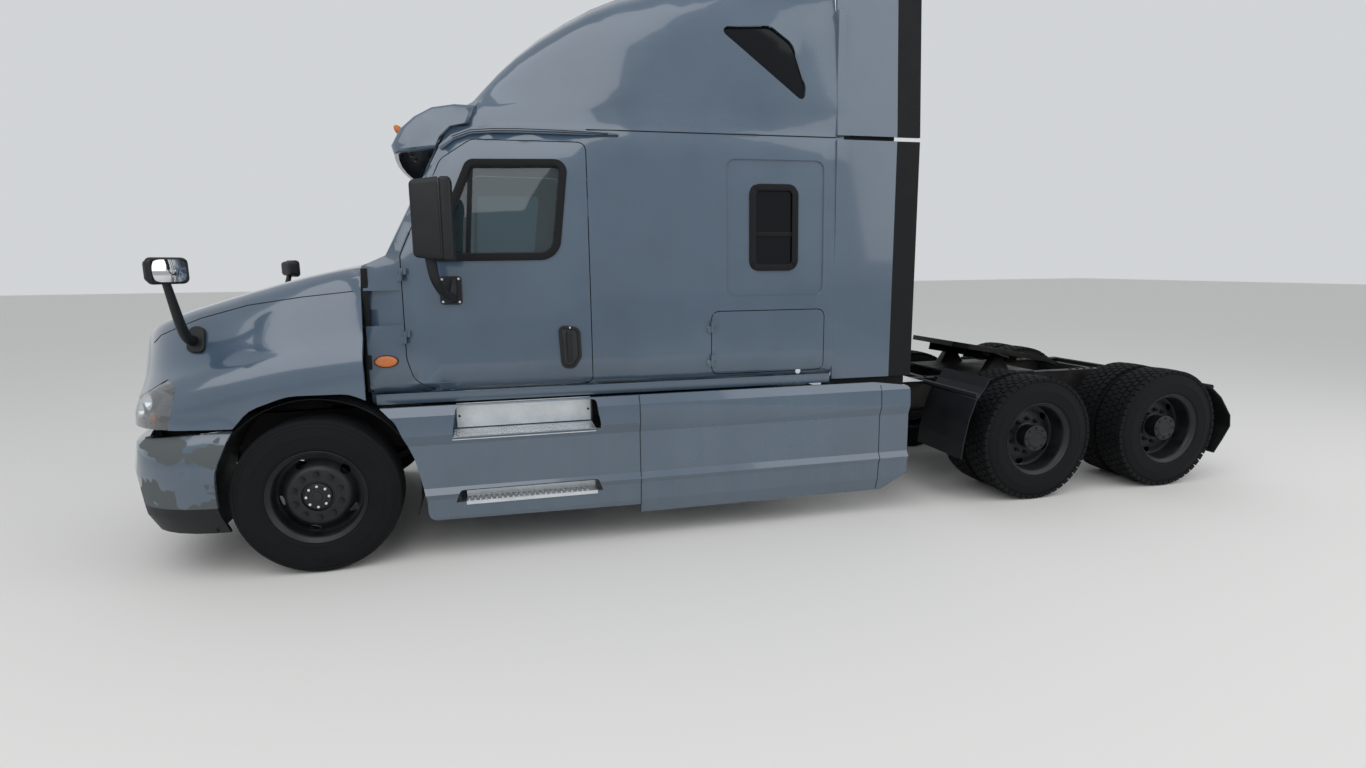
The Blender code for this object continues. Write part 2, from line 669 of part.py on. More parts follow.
def make_frame():
    """Two channel rails, cross-members, cab mounts and the brackets of the hood's hinge."""
    z0 = RAIL_TOP - RAIL_H
    inner = FRAME_HALF - RAIL_FLANGE
    channel = [(FRAME_HALF, z0), (FRAME_HALF, RAIL_TOP), (inner, RAIL_TOP), (inner, RAIL_TOP - RAIL_T),
               (FRAME_HALF - RAIL_T, RAIL_TOP - RAIL_T), (FRAME_HALF - RAIL_T, z0 + RAIL_T),
               (inner, z0 + RAIL_T), (inner, z0)]
    frame = prism("frame_ladder", channel, "X", RAIL_REAR_X, RAIL_FRONT_X)
    join(frame, prism("rail", [(-y, z) for y, z in channel], "X", RAIL_REAR_X, RAIL_FRONT_X))
    web = FRAME_HALF - RAIL_T + WELD
    middle = RAIL_TOP - RAIL_H / 2
    for share in MEMBER_SHARES:
        x = RAIL_FRONT_X + share * (RAIL_REAR_X - RAIL_FRONT_X)
        half = MEMBER_W / 2
        member = block("member", (x - half, x + half), (-web, web),
                       (RAIL_TOP - RAIL_T * 2 - MEMBER_H, RAIL_TOP - RAIL_T * 2))
        join(frame, member)
    for x in (SPLIT_X + MEMBER_W * 3, BACK_X + MEMBER_W * 3):
        mount = block("mount", (x - MEMBER_W, x + MEMBER_W), (-FRAME_HALF - MEMBER_W, FRAME_HALF + MEMBER_W),
                      (SILL_Z - SEAT - RAIL_T * 4, SILL_Z - SEAT))
        posts = [block("post", (x - MEMBER_W / 2, x + MEMBER_W / 2),
                       sorted((side * inner, side * FRAME_HALF)),
                       (RAIL_TOP - WELD, SILL_Z - SEAT - RAIL_T * 4 + WELD))
                 for _, side in SIDES]
        join(frame, *posts)
        join(frame, mount)
    for _, side in SIDES:
        arm = block("hinge_arm", (RAIL_FRONT_X - MEMBER_W, HINGE_X + HINGE_W / 2),
                    sorted((side * (HINGE_Y - HINGE_W), side * HINGE_Y)), (middle, HINGE_Z + HINGE_W))
        foot = block("hinge_foot", (RAIL_FRONT_X - MEMBER_W, RAIL_FRONT_X),
                     sorted((side * (FRAME_HALF - WELD), side * HINGE_Y)), (middle, RAIL_TOP - RAIL_T))
        join(frame, foot, arm)
    join(frame, block("deck", DECK_X, (-DECK_HALF, DECK_HALF), (RAIL_TOP - WELD, RAIL_TOP + DECK_T)))
    return hang(frame, vehicle, STEEL)


def make_powertrain():
    """One plain block for engine, radiator and gearbox."""
    wide, low, high = ENGINE_HALF, ENGINE_Z[0], ENGINE_Z[1]
    section = [(wide * 0.5, low), (wide * 0.8, low + wide), (wide, high - wide), (wide * 0.7, high)]
    outline = section + [(-y, z) for y, z in reversed(section)]
    engine = prism("powertrain", outline, "X", ENGINE_X[1], ENGINE_X[0])
    radiator = block("radiator", RADIATOR_X, (-RADIATOR_HALF, RADIATOR_HALF), RADIATOR_Z)
    fan_z = (RADIATOR_Z[0] + RADIATOR_Z[1]) / 2
    fan = turned("fan", [(FAN_R, ENGINE_X[0] - WELD), (FAN_R, RADIATOR_X[0] + WELD)],
                 (0, 0, fan_z), "X", PART_STEPS)
    gearbox = turned("gearbox", [(GEARBOX_R, ENGINE_X[1] + WELD), (GEARBOX_R, ENGINE_X[1] - GEARBOX_R),
                                 (GEARBOX_R * 0.7, ENGINE_X[1] - GEARBOX_R * 2), (GEARBOX_R * 0.6, GEARBOX_X),
                                 (SHAFT_R, GEARBOX_X)], (0, 0, SHAFT_Z), "X", PART_STEPS)
    lugs = [block("lug", (-MEMBER_W, MEMBER_W),
                  sorted((side * wide * 0.6, side * (FRAME_HALF - RAIL_FLANGE - SEAT))),
                  (RAIL_TOP - MEMBER_W, RAIL_TOP)) for _, side in SIDES]
    join(engine, fan, radiator, gearbox, *lugs)
    return hang(engine, vehicle, STEEL)


def make_front_axle():
    """A dropped I-beam between the kingpins, with a leaf pack under each rail."""
    end_z = TYRE_R
    low_z = TYRE_R - BEAM_DROP
    reach = KINGPIN_Y - KINGPIN_R - BEARING
    spots = ((-reach, end_z), (-reach + BEAM_DROP, low_z), (reach - BEAM_DROP, low_z), (reach, end_z))
    rings = [[(-BEAM_W / 2, y, z - BEAM_H / 2), (BEAM_W / 2, y, z - BEAM_H / 2),
              (BEAM_W / 2, y, z + BEAM_H / 2), (-BEAM_W / 2, y, z + BEAM_H / 2)] for y, z in spots]
    axle = loft("front_axle", rings)
    eye_z = RAIL_TOP - RAIL_H - SEAT
    seat_z = low_z + BEAM_H / 2 - WELD
    for _, side in SIDES:
        upper = [(SPRING_L / 2 * u, seat_z + SPRING_T + (eye_z - seat_z - SPRING_T) * u * u)
                 for u in (-1, -0.6, -0.3, 0, 0.3, 0.6, 1)]
        lower = [(x, z - SPRING_T * (1 - 0.5 * abs(x) / SPRING_L)) for x, z in reversed(upper)]
        ends = sorted((side * (SPRING_Y - SPRING_W / 2), side * (SPRING_Y + SPRING_W / 2)))
        join(axle, prism("leaves", upper + lower, "Y", ends[0], ends[1]))
    return hang(axle, vehicle, STEEL)


def make_drive_axle(number, x):
    """Axle casing with its two trailing arms, air springs and propeller shaft."""
    spindle_end = TYRE_FACE_Y - TYRE_W * 0.75
    tube_end = TYRE_FACE_Y - TYRE_W * 2 - TWIN_GAP - BEARING
    half = [(AXLE_SPINDLE_R, spindle_end), (AXLE_SPINDLE_R, tube_end), (AXLE_TUBE_R, tube_end),
            (AXLE_TUBE_R, BANJO_R * 1.3), (BANJO_R * 0.8, BANJO_R * 0.8), (BANJO_R, BANJO_R * 0.25)]
    profile = half + [(r, -y) for r, y in reversed(half)]
    axle = turned("drive_axle_%d" % number, profile, (x, 0, TYRE_R), steps=PART_STEPS)
    top = RAIL_TOP - RAIL_H - SEAT
    lug = FRAME_HALF - RAIL_FLANGE / 2
    arm_x = x - AIR_SPRING_X
    for _, side in SIDES:
        wide = sorted((side * (lug - ARM_W / 2), side * (lug + ARM_W / 2)))
        arm_top = TYRE_R - AXLE_TUBE_R + WELD
        front = x + AIR_SPRING_X
        outline = [(arm_x - ARM_W, arm_top), (arm_x - ARM_W, arm_top - ARM_T), (front, arm_top - ARM_T),
                   (front + ARM_T, arm_top - ARM_T), (front + ARM_T, top), (front, top), (front, arm_top)]
        arm = prism("arm", outline, "Y", wide[0], wide[1])
        spring = turned("air_spring", [(AIR_SPRING_R * 0.6, arm_top - WELD), (AIR_SPRING_R, arm_top + ARM_T),
                                       (AIR_SPRING_R, top - ARM_T), (AIR_SPRING_R * 0.8, top)],
                        (arm_x, side * lug, 0), "Z", PART_STEPS)
        join(axle, arm, spring)
    nose_z = TYRE_R + BANJO_R * 0.3
    if number == 1:
        end = Vector((GEARBOX_X - SEAT, 0, SHAFT_Z))
    else:
        end = Vector((DRIVE_AXLES[0] - BANJO_R - SEAT * 2, 0, nose_z))
    nose = Vector((x + BANJO_R * 0.5, 0, nose_z))
    bend = nose + Vector((BANJO_R, 0, 0))
    path = (nose, bend, end - Vector((BANJO_R, 0, 0)), end) if number == 1 else (nose, end)
    join(axle, tube("shaft", path, SHAFT_R))
    return hang(axle, vehicle, STEEL)


def tyre_loop(face, side):
    """Outer surface of a tyre as (radius, y), from its outer bead round the tread to its inner bead."""
    w = TYRE_W
    depth = TYRE_R - BEAD_R
    loop = [(0.06, 0.09), (0.45, 0.0), (0.86, 0.03), (0.985, 0.12), (1.0, 0.5)]
    loop += [(r, 1 - u) for r, u in reversed(loop[:-1])]
    return [(BEAD_R + r * depth, side * (face - u * w)) for r, u in loop]


def bore_for(radius):
    """Corner radius of a faceted bore that a spindle can turn in."""
    return (radius + BEARING) / math.cos(math.pi / WHEEL_STEPS)


def make_front_wheel(label, side, knuckle_pivot):
    """Kingpin knuckle, disc wheel with hub and drum, and tyre of one steered wheel."""
    face = TYRE_FACE_Y
    inner = face - TYRE_W
    centre = (0, 0, TYRE_R)
    tyre = turned("tyre_front_" + label, tyre_loop(face, side) + [(BEAD_R, side * (inner + TYRE_W * 0.10)),
                                                              (BEAD_R, side * (face - TYRE_W * 0.10))],
                  centre, wrap=True)
    barrel = BEAD_R - SEAT
    bore = bore_for(SPINDLE_R)
    drum_in = inner + TYRE_W * 0.05
    hub_y = inner + TYRE_W * 0.72
    lip = TYRE_W * 0.09
    profile = [(bore, hub_y), (bore, inner + TYRE_W * 0.30), (DRUM_R * 0.9, inner + TYRE_W * 0.30),
               (DRUM_R * 0.9, drum_in), (DRUM_R, drum_in), (DRUM_R, hub_y - TYRE_W * 0.2),
               (barrel * 0.95, hub_y - TYRE_W * 0.1), (barrel * 0.95, inner + lip),
               (RIM_R * 0.98, inner + lip * 0.5),
               (RIM_R * 0.985, inner + lip - SEAT), (barrel, inner + lip), (barrel, face - lip),
               (RIM_R * 0.985, face - lip + SEAT), (RIM_R * 0.98, face - lip * 0.5),
               (barrel * 0.93, face - lip * 1.6), (barrel * 0.88, hub_y), (DRUM_R * 0.75, hub_y + lip),
               (DRUM_R * 0.55, hub_y + lip * 0.7), (DRUM_R * 0.45, face - lip),
               (DRUM_R * 0.3, face - lip * 0.3)]
    wheel = turned("wheel_front_" + label, [(r, side * y) for r, y in profile], centre)
    spin = pivot("spin_front_" + label, (0, side * (face - TYRE_W / 2), TYRE_R))
    hang(tyre, spin, RUBBER)
    hang(wheel, spin, STEEL)
    pin_y = side * KINGPIN_Y
    pin = turned("knuckle_" + label, [(KINGPIN_R, TYRE_R - KINGPIN_L / 2),
                                      (KINGPIN_R, TYRE_R + KINGPIN_L / 2)],
                 (0, pin_y, 0), "Z", PIN_STEPS)
    stub = turned("stub", [(SPINDLE_R * 2, side * KINGPIN_Y), (SPINDLE_R * 2, side * (inner + TYRE_W * 0.2)),
                           (SPINDLE_R, side * (inner + TYRE_W * 0.25)),
                           (SPINDLE_R, side * (hub_y - BEARING))],
                  centre, steps=PART_STEPS)
    steer_arm = block("steer_arm", (-KINGPIN_L, 0), sorted((side * (KINGPIN_Y - KINGPIN_R * 0.5),
                                                            side * (KINGPIN_Y + KINGPIN_R * 0.5))),
                      (TYRE_R - KINGPIN_L / 2 + WELD, TYRE_R - KINGPIN_L / 2 + WELD + ARM_T))
    join(pin, stub, steer_arm)
    hang(pin, knuckle_pivot, STEEL)


def make_twins(number, x, label, side):
    """Two tyres on their rims, hub and drum, turned as one."""
    face = TYRE_FACE_Y
    second = face - TYRE_W - TWIN_GAP
    inner = second - TYRE_W
    bore = bore_for(AXLE_SPINDLE_R)
    hub_end = face - TYRE_W * 0.12
    dish = face - TYRE_W * 0.62
    profile = [(bore, dish - TYRE_W * 0.1), (bore, inner), (DRUM_R, inner), (DRUM_R, inner + TYRE_W * 0.6),
               (BEAD_R * 0.93, inner + TYRE_W * 0.6), (BEAD_R * 0.93, inner + TYRE_W * 0.06)]
    profile += [(r, abs(y)) for r, y in reversed(tyre_loop(second, 1))]
    profile += [(r, abs(y)) for r, y in reversed(tyre_loop(face, 1))]
    profile += [(BEAD_R * 0.93, face - TYRE_W * 0.08), (BEAD_R * 0.88, dish), (DRUM_R * 0.7, dish),
                (DRUM_R * 0.6, dish + TYRE_W * 0.12), (DRUM_R * 0.5, hub_end), (DRUM_R * 0.2, hub_end)]
    twins = turned("twin_wheel_%d_%s" % (number, label), [(r, side * y) for r, y in profile], (x, 0, TYRE_R))
    hang(twins, pivot("spin_%d_%s" % (number, label), (x, side * (face - TYRE_W), TYRE_R)), RUBBER)


def make_hood(hood_pivot):
    """Hood shell with its arches, lugs, grille, headlamps and mirrors."""
    hood = hood_solid("hood", 0, 0, 0)
    boolean(hood, hood_solid("inside", HOOD_T, CUT, CUT))
    boolean(hood, arch_cutter())
    for _, side in SIDES:
        lug = block("lug", (HINGE_X - HINGE_W, HOOD_FRONT_X - HOOD_T + WELD),
                    sorted((side * (HINGE_Y + SEAT * 2), side * (HINGE_Y + HINGE_W * 2))),
                    (HINGE_Z - HINGE_W, HOOD_BASE_Z + HINGE_W * 2))
        join(hood, lug)
    opening = [(GRILLE_HALF, GRILLE_LOW), (GRILLE_HALF, GRILLE_TOP - GRILLE_RIM),
               (GRILLE_HALF * 0.85, GRILLE_TOP),
               (-GRILLE_HALF * 0.85, GRILLE_TOP), (-GRILLE_HALF, GRILLE_TOP - GRILLE_RIM),
               (-GRILLE_HALF, GRILLE_LOW)]
    behind = HOOD_RAKE * (GRILLE_TOP - HOOD_BASE_Z) + HOOD_T + CUT
    boolean(hood, prism("opening", opening, "X", HOOD_FRONT_X - behind, HOOD_FRONT_X + CUT))
    back = HOOD_FRONT_X - GRILLE_T
    grille = prism("grille", offset(opening, -SEAT), "X", back, HOOD_FRONT_X - SEAT)
    pitch = (GRILLE_TOP - GRILLE_LOW - GRILLE_RIM * 2 + GRILLE_BAR) / GRILLE_SLOTS
    slots = []
    for k in range(GRILLE_SLOTS):
        low = GRILLE_LOW + GRILLE_RIM + k * pitch
        for low_y, high_y in ((-GRILLE_HALF + GRILLE_RIM, -GRILLE_BAR),
                              (GRILLE_BAR, GRILLE_HALF - GRILLE_RIM)):
            slots.append(block("slot", (back - CUT, HOOD_FRONT_X + CUT), (low_y, high_y),
                               (low, low + pitch - GRILLE_BAR)))
    boolean(grille, gather("slots", slots))
    for vertex in grille.data.vertices:
        vertex.co = lean_back(vertex.co, 1)
    lamp_outline = rounded(HEADLAMP)
    lamps = hood_solid("lamps", RUN / 4, -RUN / 4, 0)
    boolean(lamps, hood_solid("inside", HEADLAMP_T, CUT, CUT))
    for label, side in SIDES:
        boolean(hood, side_prism("lamp_hole", lamp_outline, side, HEADLAMP_Y))
        lamp = copy(lamps, "headlamp_" + label)
        boolean(lamp, side_prism("lamp_block", offset(lamp_outline, -SEAT), side, HEADLAMP_Y + SEAT),
                "INTERSECT")
        hang(lamp, hood_pivot, GLASS)
    bpy.data.objects.remove(lamps)
    hang(hood, hood_pivot, PAINT)
    hang(grille, hood_pivot, PLASTIC)
    mirror = hood_mirror()
    hang(mirrored(mirror, "hood_mirror_right"), hood_pivot, PLASTIC)
    hang(mirror, hood_pivot, PLASTIC)


def hood_mirror():
    """The left convex mirror on its arm, with the pad that seats it on the hood."""
    half_w, half_h, half_t = HOOD_MIRROR_W / 2, HOOD_MIRROR_H / 2, HOOD_MIRROR_T / 2
    round_r = half_h * 0.6
    corners = [(HOOD_MIRROR_Y + u * half_w, HOOD_MIRROR_Z + v * half_h, round_r)
               for u, v in ((-1, -1), (1, -1), (1, 1), (-1, 1))]
    outline = rounded(corners)
    rings = []
    for x, shrink in ((HOOD_MIRROR_X - half_t, 0), (HOOD_MIRROR_X, 0),
                      (HOOD_MIRROR_X + half_t, round_r * 0.7)):
        rings.append([(x, y, z) for y, z in offset(outline, -shrink)])
    mirror = loft("hood_mirror_left", rings)
    foot = Vector(HOOD_MIRROR_FOOT)
    head = Vector((HOOD_MIRROR_X, HOOD_MIRROR_Y, HOOD_MIRROR_Z - half_h + WELD))
    pad_w, pad_h = HOOD_MIRROR_PAD
    pad = block("pad", (foot.x - pad_w / 2, foot.x + pad_w / 2), (foot.y - pad_w, foot.y + pad_w),
                (foot.z - pad_h / 2, foot.z + pad_h / 2))
    join(mirror, tube("stay", (foot, Vector(HOOD_MIRROR_KNEE), head), HOOD_ARM_R), pad)
    return boolean(mirror, hood_solid("hood_skin", -SEAT, 0, 0))


def make_bumper():
    """A wrapped bumper swept round its plan, with brackets to the rails."""
    plan = [(x * FRONT_OVERHANG, y * BODY_HALF, rise * BUMPER_RISE) for x, y, rise in BUMPER_PLAN_SHARES]
    path = [Vector((x, -y, rise)) for x, y, rise in reversed(plan[1:])] + [Vector(spot) for spot in plan]
    rings = []
    for i, here in enumerate(path):
        before = here - path[max(i - 1, 0)]
        after = path[min(i + 1, len(path) - 1)] - here
        run = (before.normalized() + after.normalized()).normalized()
        normal = Vector((run.y, -run.x, 0)).normalized()
        outer, inner = [], []
        for high, tuck in BUMPER_SECTION_SHARES:
            z = BUMPER_FOOT + high * (BUMPER_TOP + here.z - BUMPER_FOOT)
            front = here - normal * tuck * BUMPER_TUCK
            rear = front - normal * BUMPER_T
            outer.append((front.x, front.y, z))
            inner.append((rear.x, rear.y, z))
        rings.append(outer + inner[::-1])
    bumper = loft("bumper", rings)
    boolean(bumper, arch_cutter())
    for _, side in SIDES:
        reach = plan[2][0] - BUMPER_T * 0.3
        bracket = block("bracket", (RAIL_FRONT_X + SEAT, reach),
                        sorted((side * (FRAME_HALF - RAIL_FLANGE), side * FRAME_HALF)),
                        (RAIL_TOP - RAIL_H + RAIL_T, RAIL_TOP - RAIL_H / 2))
        join(bumper, bracket)
    return hang(bumper, vehicle, PAINT)


def add_hinges(fixed, leaf, x, y, heights):
    """Barrel hinges outside the skin: the lower knuckle on the fixed piece, the upper on the leaf."""
    for z in heights:
        for thing, way in ((fixed, 1), (leaf, -1)):
            ends = sorted((z - way * SEAT / 2, z - way * BARREL_H))
            barrel = turned("barrel", [(BARREL_R, ends[0]), (BARREL_R, ends[1])], (x, y, 0), "Z", TUBE_STEPS)
            tongue = block("tongue", sorted((x, x + way * TONGUE_L)),
                           sorted((y, y - math.copysign(TONGUE_DEPTH, y))), ends)
            join(thing, barrel, tongue)


def make_cab(door_pivots, lid_pivots):
    """Cab shell parted into its panels, with doors, lids and glass."""
    shell = cab_solid("shell", 0, 0)
    boolean(shell, cab_solid("inside", WALL, CUT))
    wide = OUTSIDE
    floor_top = SILL_Z + FLOOR_T
    door = rounded(DOOR)
    aperture = offset(door, RUN)
    lid = rounded(LID)
    window = rounded(DOOR_WINDOW)
    bunk_window = rounded(SLEEPER_WINDOW)
    panel = rounded(SLEEPER_PANEL)

    recess = cab_solid("recess", -CUT, CUT)
    boolean(recess, cab_solid("recess_inside", PANEL_DEPTH, CUT * 2))

    pane_shell = cab_solid("pane_shell", GLASS_IN, CUT)
    boolean(pane_shell, cab_solid("pane_inside", GLASS_IN + GLASS_T, CUT * 2))

    floor = copy(shell, "cab_floor")
    boolean(floor, block("slab", (COWL_X + CUT, BACK_X - CUT), (-wide, wide),
                         (SILL_Z - CUT, floor_top - SEAT)),
            "INTERSECT")
    hang(floor, vehicle, STEEL)

    front = copy(shell, "cab_front")
    boolean(front, block("front_block", (COWL_X + CUT, SPLIT_X + SEAT), (-wide, wide),
                         (floor_top, SEAM_Z + CUT)),
            "INTERSECT")
    face = CAB_HALF * CAB_SHARES[0][3]
    floor_y = face - COWL_SCOOP_DEPTH
    scoop = [(COWL_SCOOP_X[0], floor_y), (COWL_SCOOP_X[1], floor_y), (COWL_SCOOP_X[2], face),
             (COWL_SCOOP_X[2], wide), (COWL_SCOOP_X[0], wide)]
    for _, side in SIDES:
        boolean(front, prism("scoop", [(x, side * y) for x, y in scoop], "Z", *COWL_SCOOP_Z))
    screen = rounded(SCREEN)
    boolean(front, prism("screen_hole", screen, "X", SPLIT_X - CUT, COWL_X + CUT))
    pane = copy(pane_shell, "windscreen")
    boolean(pane, prism("screen_block", offset(screen, -SEAT), "X", SPLIT_X, COWL_X + CUT), "INTERSECT")
    hang(pane, vehicle, GLASS)

    back = copy(shell, "cab_back")
    boolean(back, block("back_block", (BACK_X + WALL, BACK_X - CUT), (-wide, wide),
                        (floor_top, SEAM_Z + CUT)),
            "INTERSECT")
    hang(back, vehicle, PAINT)

    for label, side in SIDES:
        boolean(front, side_prism("aperture", aperture, side))
        wall = copy(shell, "cab_side_" + label)
        boolean(wall, block("side_block", (SPLIT_X, BACK_X + WALL + SEAT), sorted((0, side * wide)),
                            (floor_top, SEAM_Z + CUT)), "INTERSECT")
        hollow = copy(recess, "hollow")
        boolean(hollow, side_prism("panel", panel, side), "INTERSECT")
        boolean(wall, hollow)
        boolean(wall, side_prism("aperture", aperture, side))
        boolean(wall, side_prism("lid_hole", offset(lid, RUN), side))
        boolean(wall, side_prism("window_hole", bunk_window, side))
        leaf = copy(shell, "door_" + label)
        boolean(leaf, side_prism("door_block", door, side), "INTERSECT")
        boolean(leaf, side_prism("window_hole", window, side))
        hinge = door_pivots[label].location
        add_hinges(front, leaf, hinge.x, hinge.y, DOOR_HINGE_Z)
        hang(leaf, door_pivots[label], PAINT)
        for name, outline, parent in (("door_glass_", window, door_pivots[label]),
                                      ("sleeper_window_", bunk_window, vehicle)):
            pane = copy(pane_shell, name + label)
            boolean(pane, side_prism("pane_block", offset(outline, -SEAT), side), "INTERSECT")
            hang(pane, parent, GLASS)
        cover = copy(shell, "baggage_door_" + label)
        boolean(cover, side_prism("lid_block", lid, side), "INTERSECT")
        hinge = lid_pivots[label].location
        add_hinges(wall, cover, hinge.x, hinge.y, LID_HINGE_Z)
        hang(wall, vehicle, PAINT)
        hang(cover, lid_pivots[label], PAINT)
    hang(front, vehicle, PAINT)
    for tool in (shell, pane_shell, recess):
        bpy.data.objects.remove(tool)


def pulled(line, middle, share):
    """The line's points moved a share of the way towards a middle point."""
    return [(x + (middle[0] - x) * share, z + (middle[1] - z) * share) for x, z in line]


def make_roof():
    """Roof cap with its side windows, and the visor that stands on it."""
    roof = roof_solid("roof_cap", 0, 0)
    boolean(roof, roof_solid("inside", WALL, CUT))
    window = rounded(ROOF_WINDOW)
    panes = roof_solid("panes", GLASS_IN, 0)
    boolean(panes, roof_solid("panes_inside", GLASS_IN + GLASS_T, CUT))
    for label, side in SIDES:
        boolean(roof, side_prism("window_hole", window, side))
        pane = copy(panes, "roof_window_" + label)
        boolean(pane, side_prism("pane_block", offset(window, -SEAT), side), "INTERSECT")
        hang(pane, vehicle, GLASS)
    bpy.data.objects.remove(panes)
    hang(roof, vehicle, PAINT)
    rings, hollow = [], []
    under = offset(VISOR_TOP + VISOR_END, -VISOR_T)[:len(VISOR_TOP)]
    for k, shrink in VISOR_STATION_SHARES:
        bow = VISOR_BOW * (1 - k * k)
        pull = shrink * VISOR_ROUND_SHARE
        outer = [(x + bow, z) for x, z in pulled(VISOR_TOP + VISOR_END, VISOR_MIDDLE, pull)]
        inner = [(x + bow, z) for x, z in pulled(under, VISOR_MIDDLE, pull)]
        inner += [(x + bow - CUT, z - CUT) for x, z in VISOR_END]
        inner.append((inner[0][0], inner[0][1] - CUT - VISOR_T))
        rings.append([(x, k * VISOR_HALF, z) for x, z in outer])
        hollow.append([(x, k * (VISOR_HALF - VISOR_T), z) for x, z in inner])
    visor = boolean(loft("sun_visor", rings), loft("hollow", hollow))
    boolean(visor, roof_solid("roof_skin", -SEAT, CUT))
    boolean(visor, cab_solid("cab_skin", -SEAT, SEAT))
    return hang(visor, vehicle, PAINT)


def step_box():
    """The box behind the steps, which carries the skirt from the rail, with two treads."""
    steps = block("step_box", STEP_X, STEP_BOX_Y, STEP_BOX_Z)
    reach = block("reach", (STEP_X[0] - MEMBER_W, STEP_X[1] + MEMBER_W),
                  (FRAME_HALF + SEAT, STEP_BOX_Y[0] + WELD),
                  (RAIL_TOP - RAIL_H + RAIL_T, RAIL_TOP - RAIL_T))
    join(steps, reach)
    wall_in = BODY_HALF - SKIRT_TUCK * 0.45 - SKIRT_T / 2
    for top in STEP_TOPS:
        tread = block("tread", (STEP_X[0] - STEP_T, STEP_X[1] + STEP_T * 0.5),
                      (STEP_BOX_Y[1] - WELD, wall_in),
                      (top - STEP_T, top))
        join(steps, tread)
    return steps


def make_skirts():
    """Side skirts swept along the body with a creased section, and the fuel tanks."""
    wall_in = BODY_HALF - SKIRT_TUCK - SKIRT_T
    height = SKIRT_TOP - SKIRT_FOOT
    outer = [(BODY_HALF - tuck * SKIRT_TUCK, SKIRT_FOOT + high * height) for high, tuck in SKIRT_SHARES]
    section = outer + [(y - SKIRT_T, z) for y, z in reversed(outer)]
    for name, outline in (("skirt_front_", SKIRT_FRONT), ("skirt_rear_", SKIRT_REAR)):
        run = [x for x, _, _ in outline]
        skirt = prism(name + "left", section, "X", min(run) - CUT, max(run) + CUT)
        boolean(skirt, side_prism("outline", offset(rounded(outline), -SEAT), 1, FRAME_HALF), "INTERSECT")
        if name == "skirt_front_":
            for top, tall in zip(STEP_TOPS, STEP_OPEN_H):
                hole = [(STEP_X[0], top, 0.0), (STEP_X[0] - STEP_T, top + tall, STEP_T),
                        (STEP_X[1], top + tall, STEP_T),
                        (STEP_X[1] - STEP_T, top, 0.0)]
                boolean(skirt, side_prism("step_hole", rounded(hole), 1, FRAME_HALF))
            join(skirt, step_box())
        hang(mirrored(skirt, name + "right"), vehicle, PAINT)
        hang(skirt, vehicle, PAINT)

    dome = TANK_R * 0.12
    tank = turned("fuel_tank_left", [(TANK_R * 0.9, TANK_X[0]), (TANK_R, TANK_X[0] - dome),
                                     (TANK_R, TANK_X[1] + dome),
                                     (TANK_R * 0.9, TANK_X[1])], (0, TANK_Y, TANK_Z), "X", TANK_STEPS)
    for share in (0.22, 0.78):
        x = TANK_X[0] + share * (TANK_X[1] - TANK_X[0])
        strap = turned("strap", [(TANK_R + STRAP_T, x - STRAP_W / 2), (TANK_R + STRAP_T, x + STRAP_W / 2)],
                       (0, TANK_Y, TANK_Z), "X", TANK_STEPS)
        foot = TANK_Z - TANK_R
        arm = [(FRAME_HALF + SEAT, RAIL_TOP - RAIL_T), (FRAME_HALF + SEAT, foot - ARM_H),
               (wall_in - SEAT, foot - ARM_H),
               (wall_in - SEAT, foot + STRAP_T), (TANK_Y, foot + STRAP_T), (FRAME_HALF + ARM_H, TANK_Z),
               (FRAME_HALF + ARM_H, RAIL_TOP - RAIL_T)]
        join(tank, strap, prism("arm", arm, "X", x - STRAP_W / 2 + WELD, x + STRAP_W / 2 - WELD))
    hang(mirrored(tank, "fuel_tank_right"), vehicle, ALUMINIUM)
    hang(tank, vehicle, ALUMINIUM)


def make_extenders():
    """Side extenders: a lower and an upper panel on one inner post, seated on the back wall."""
    for label, side in SIDES:
        face = CAB_HALF * CAB_SHARES[-1][2]
        post_x = (BACK_X - MEMBER_W, BACK_X - SEAT)
        post = block("extender_" + label, post_x,
                     sorted((side * (face - EXTENDER_T - MEMBER_W), side * (face - EXTENDER_T))),
                     (EXTENDER_FOOT + MEMBER_W, EXTENDER_TOP - MEMBER_W * 4))
        spans = ((EXTENDER_FOOT, SEAM_Z - EXTENDER_GAP / 2, face, face),
                 (SEAM_Z + EXTENDER_GAP / 2, EXTENDER_TOP, face, face - EXTENDER_T * 3))
        for low, high, low_y, high_y in spans:
            foot = [(BACK_X - SEAT, low), (EXTENDER_END_X, low)]
            rings = []
            for (x, z), (x2, z2), y in ((foot[0], foot[1], low_y),
                                        ((foot[0][0], high), (foot[1][0], high), high_y)):
                rings.append([(x, side * y, z), (x2, side * (y + EXTENDER_T * 0.5), z2),
                              (x2, side * (y - EXTENDER_T * 0.5), z2),
                              (x, side * (y - EXTENDER_T - WELD), z)])
            join(post, loft("panel", rings))
        hang(post, vehicle, PAINT)


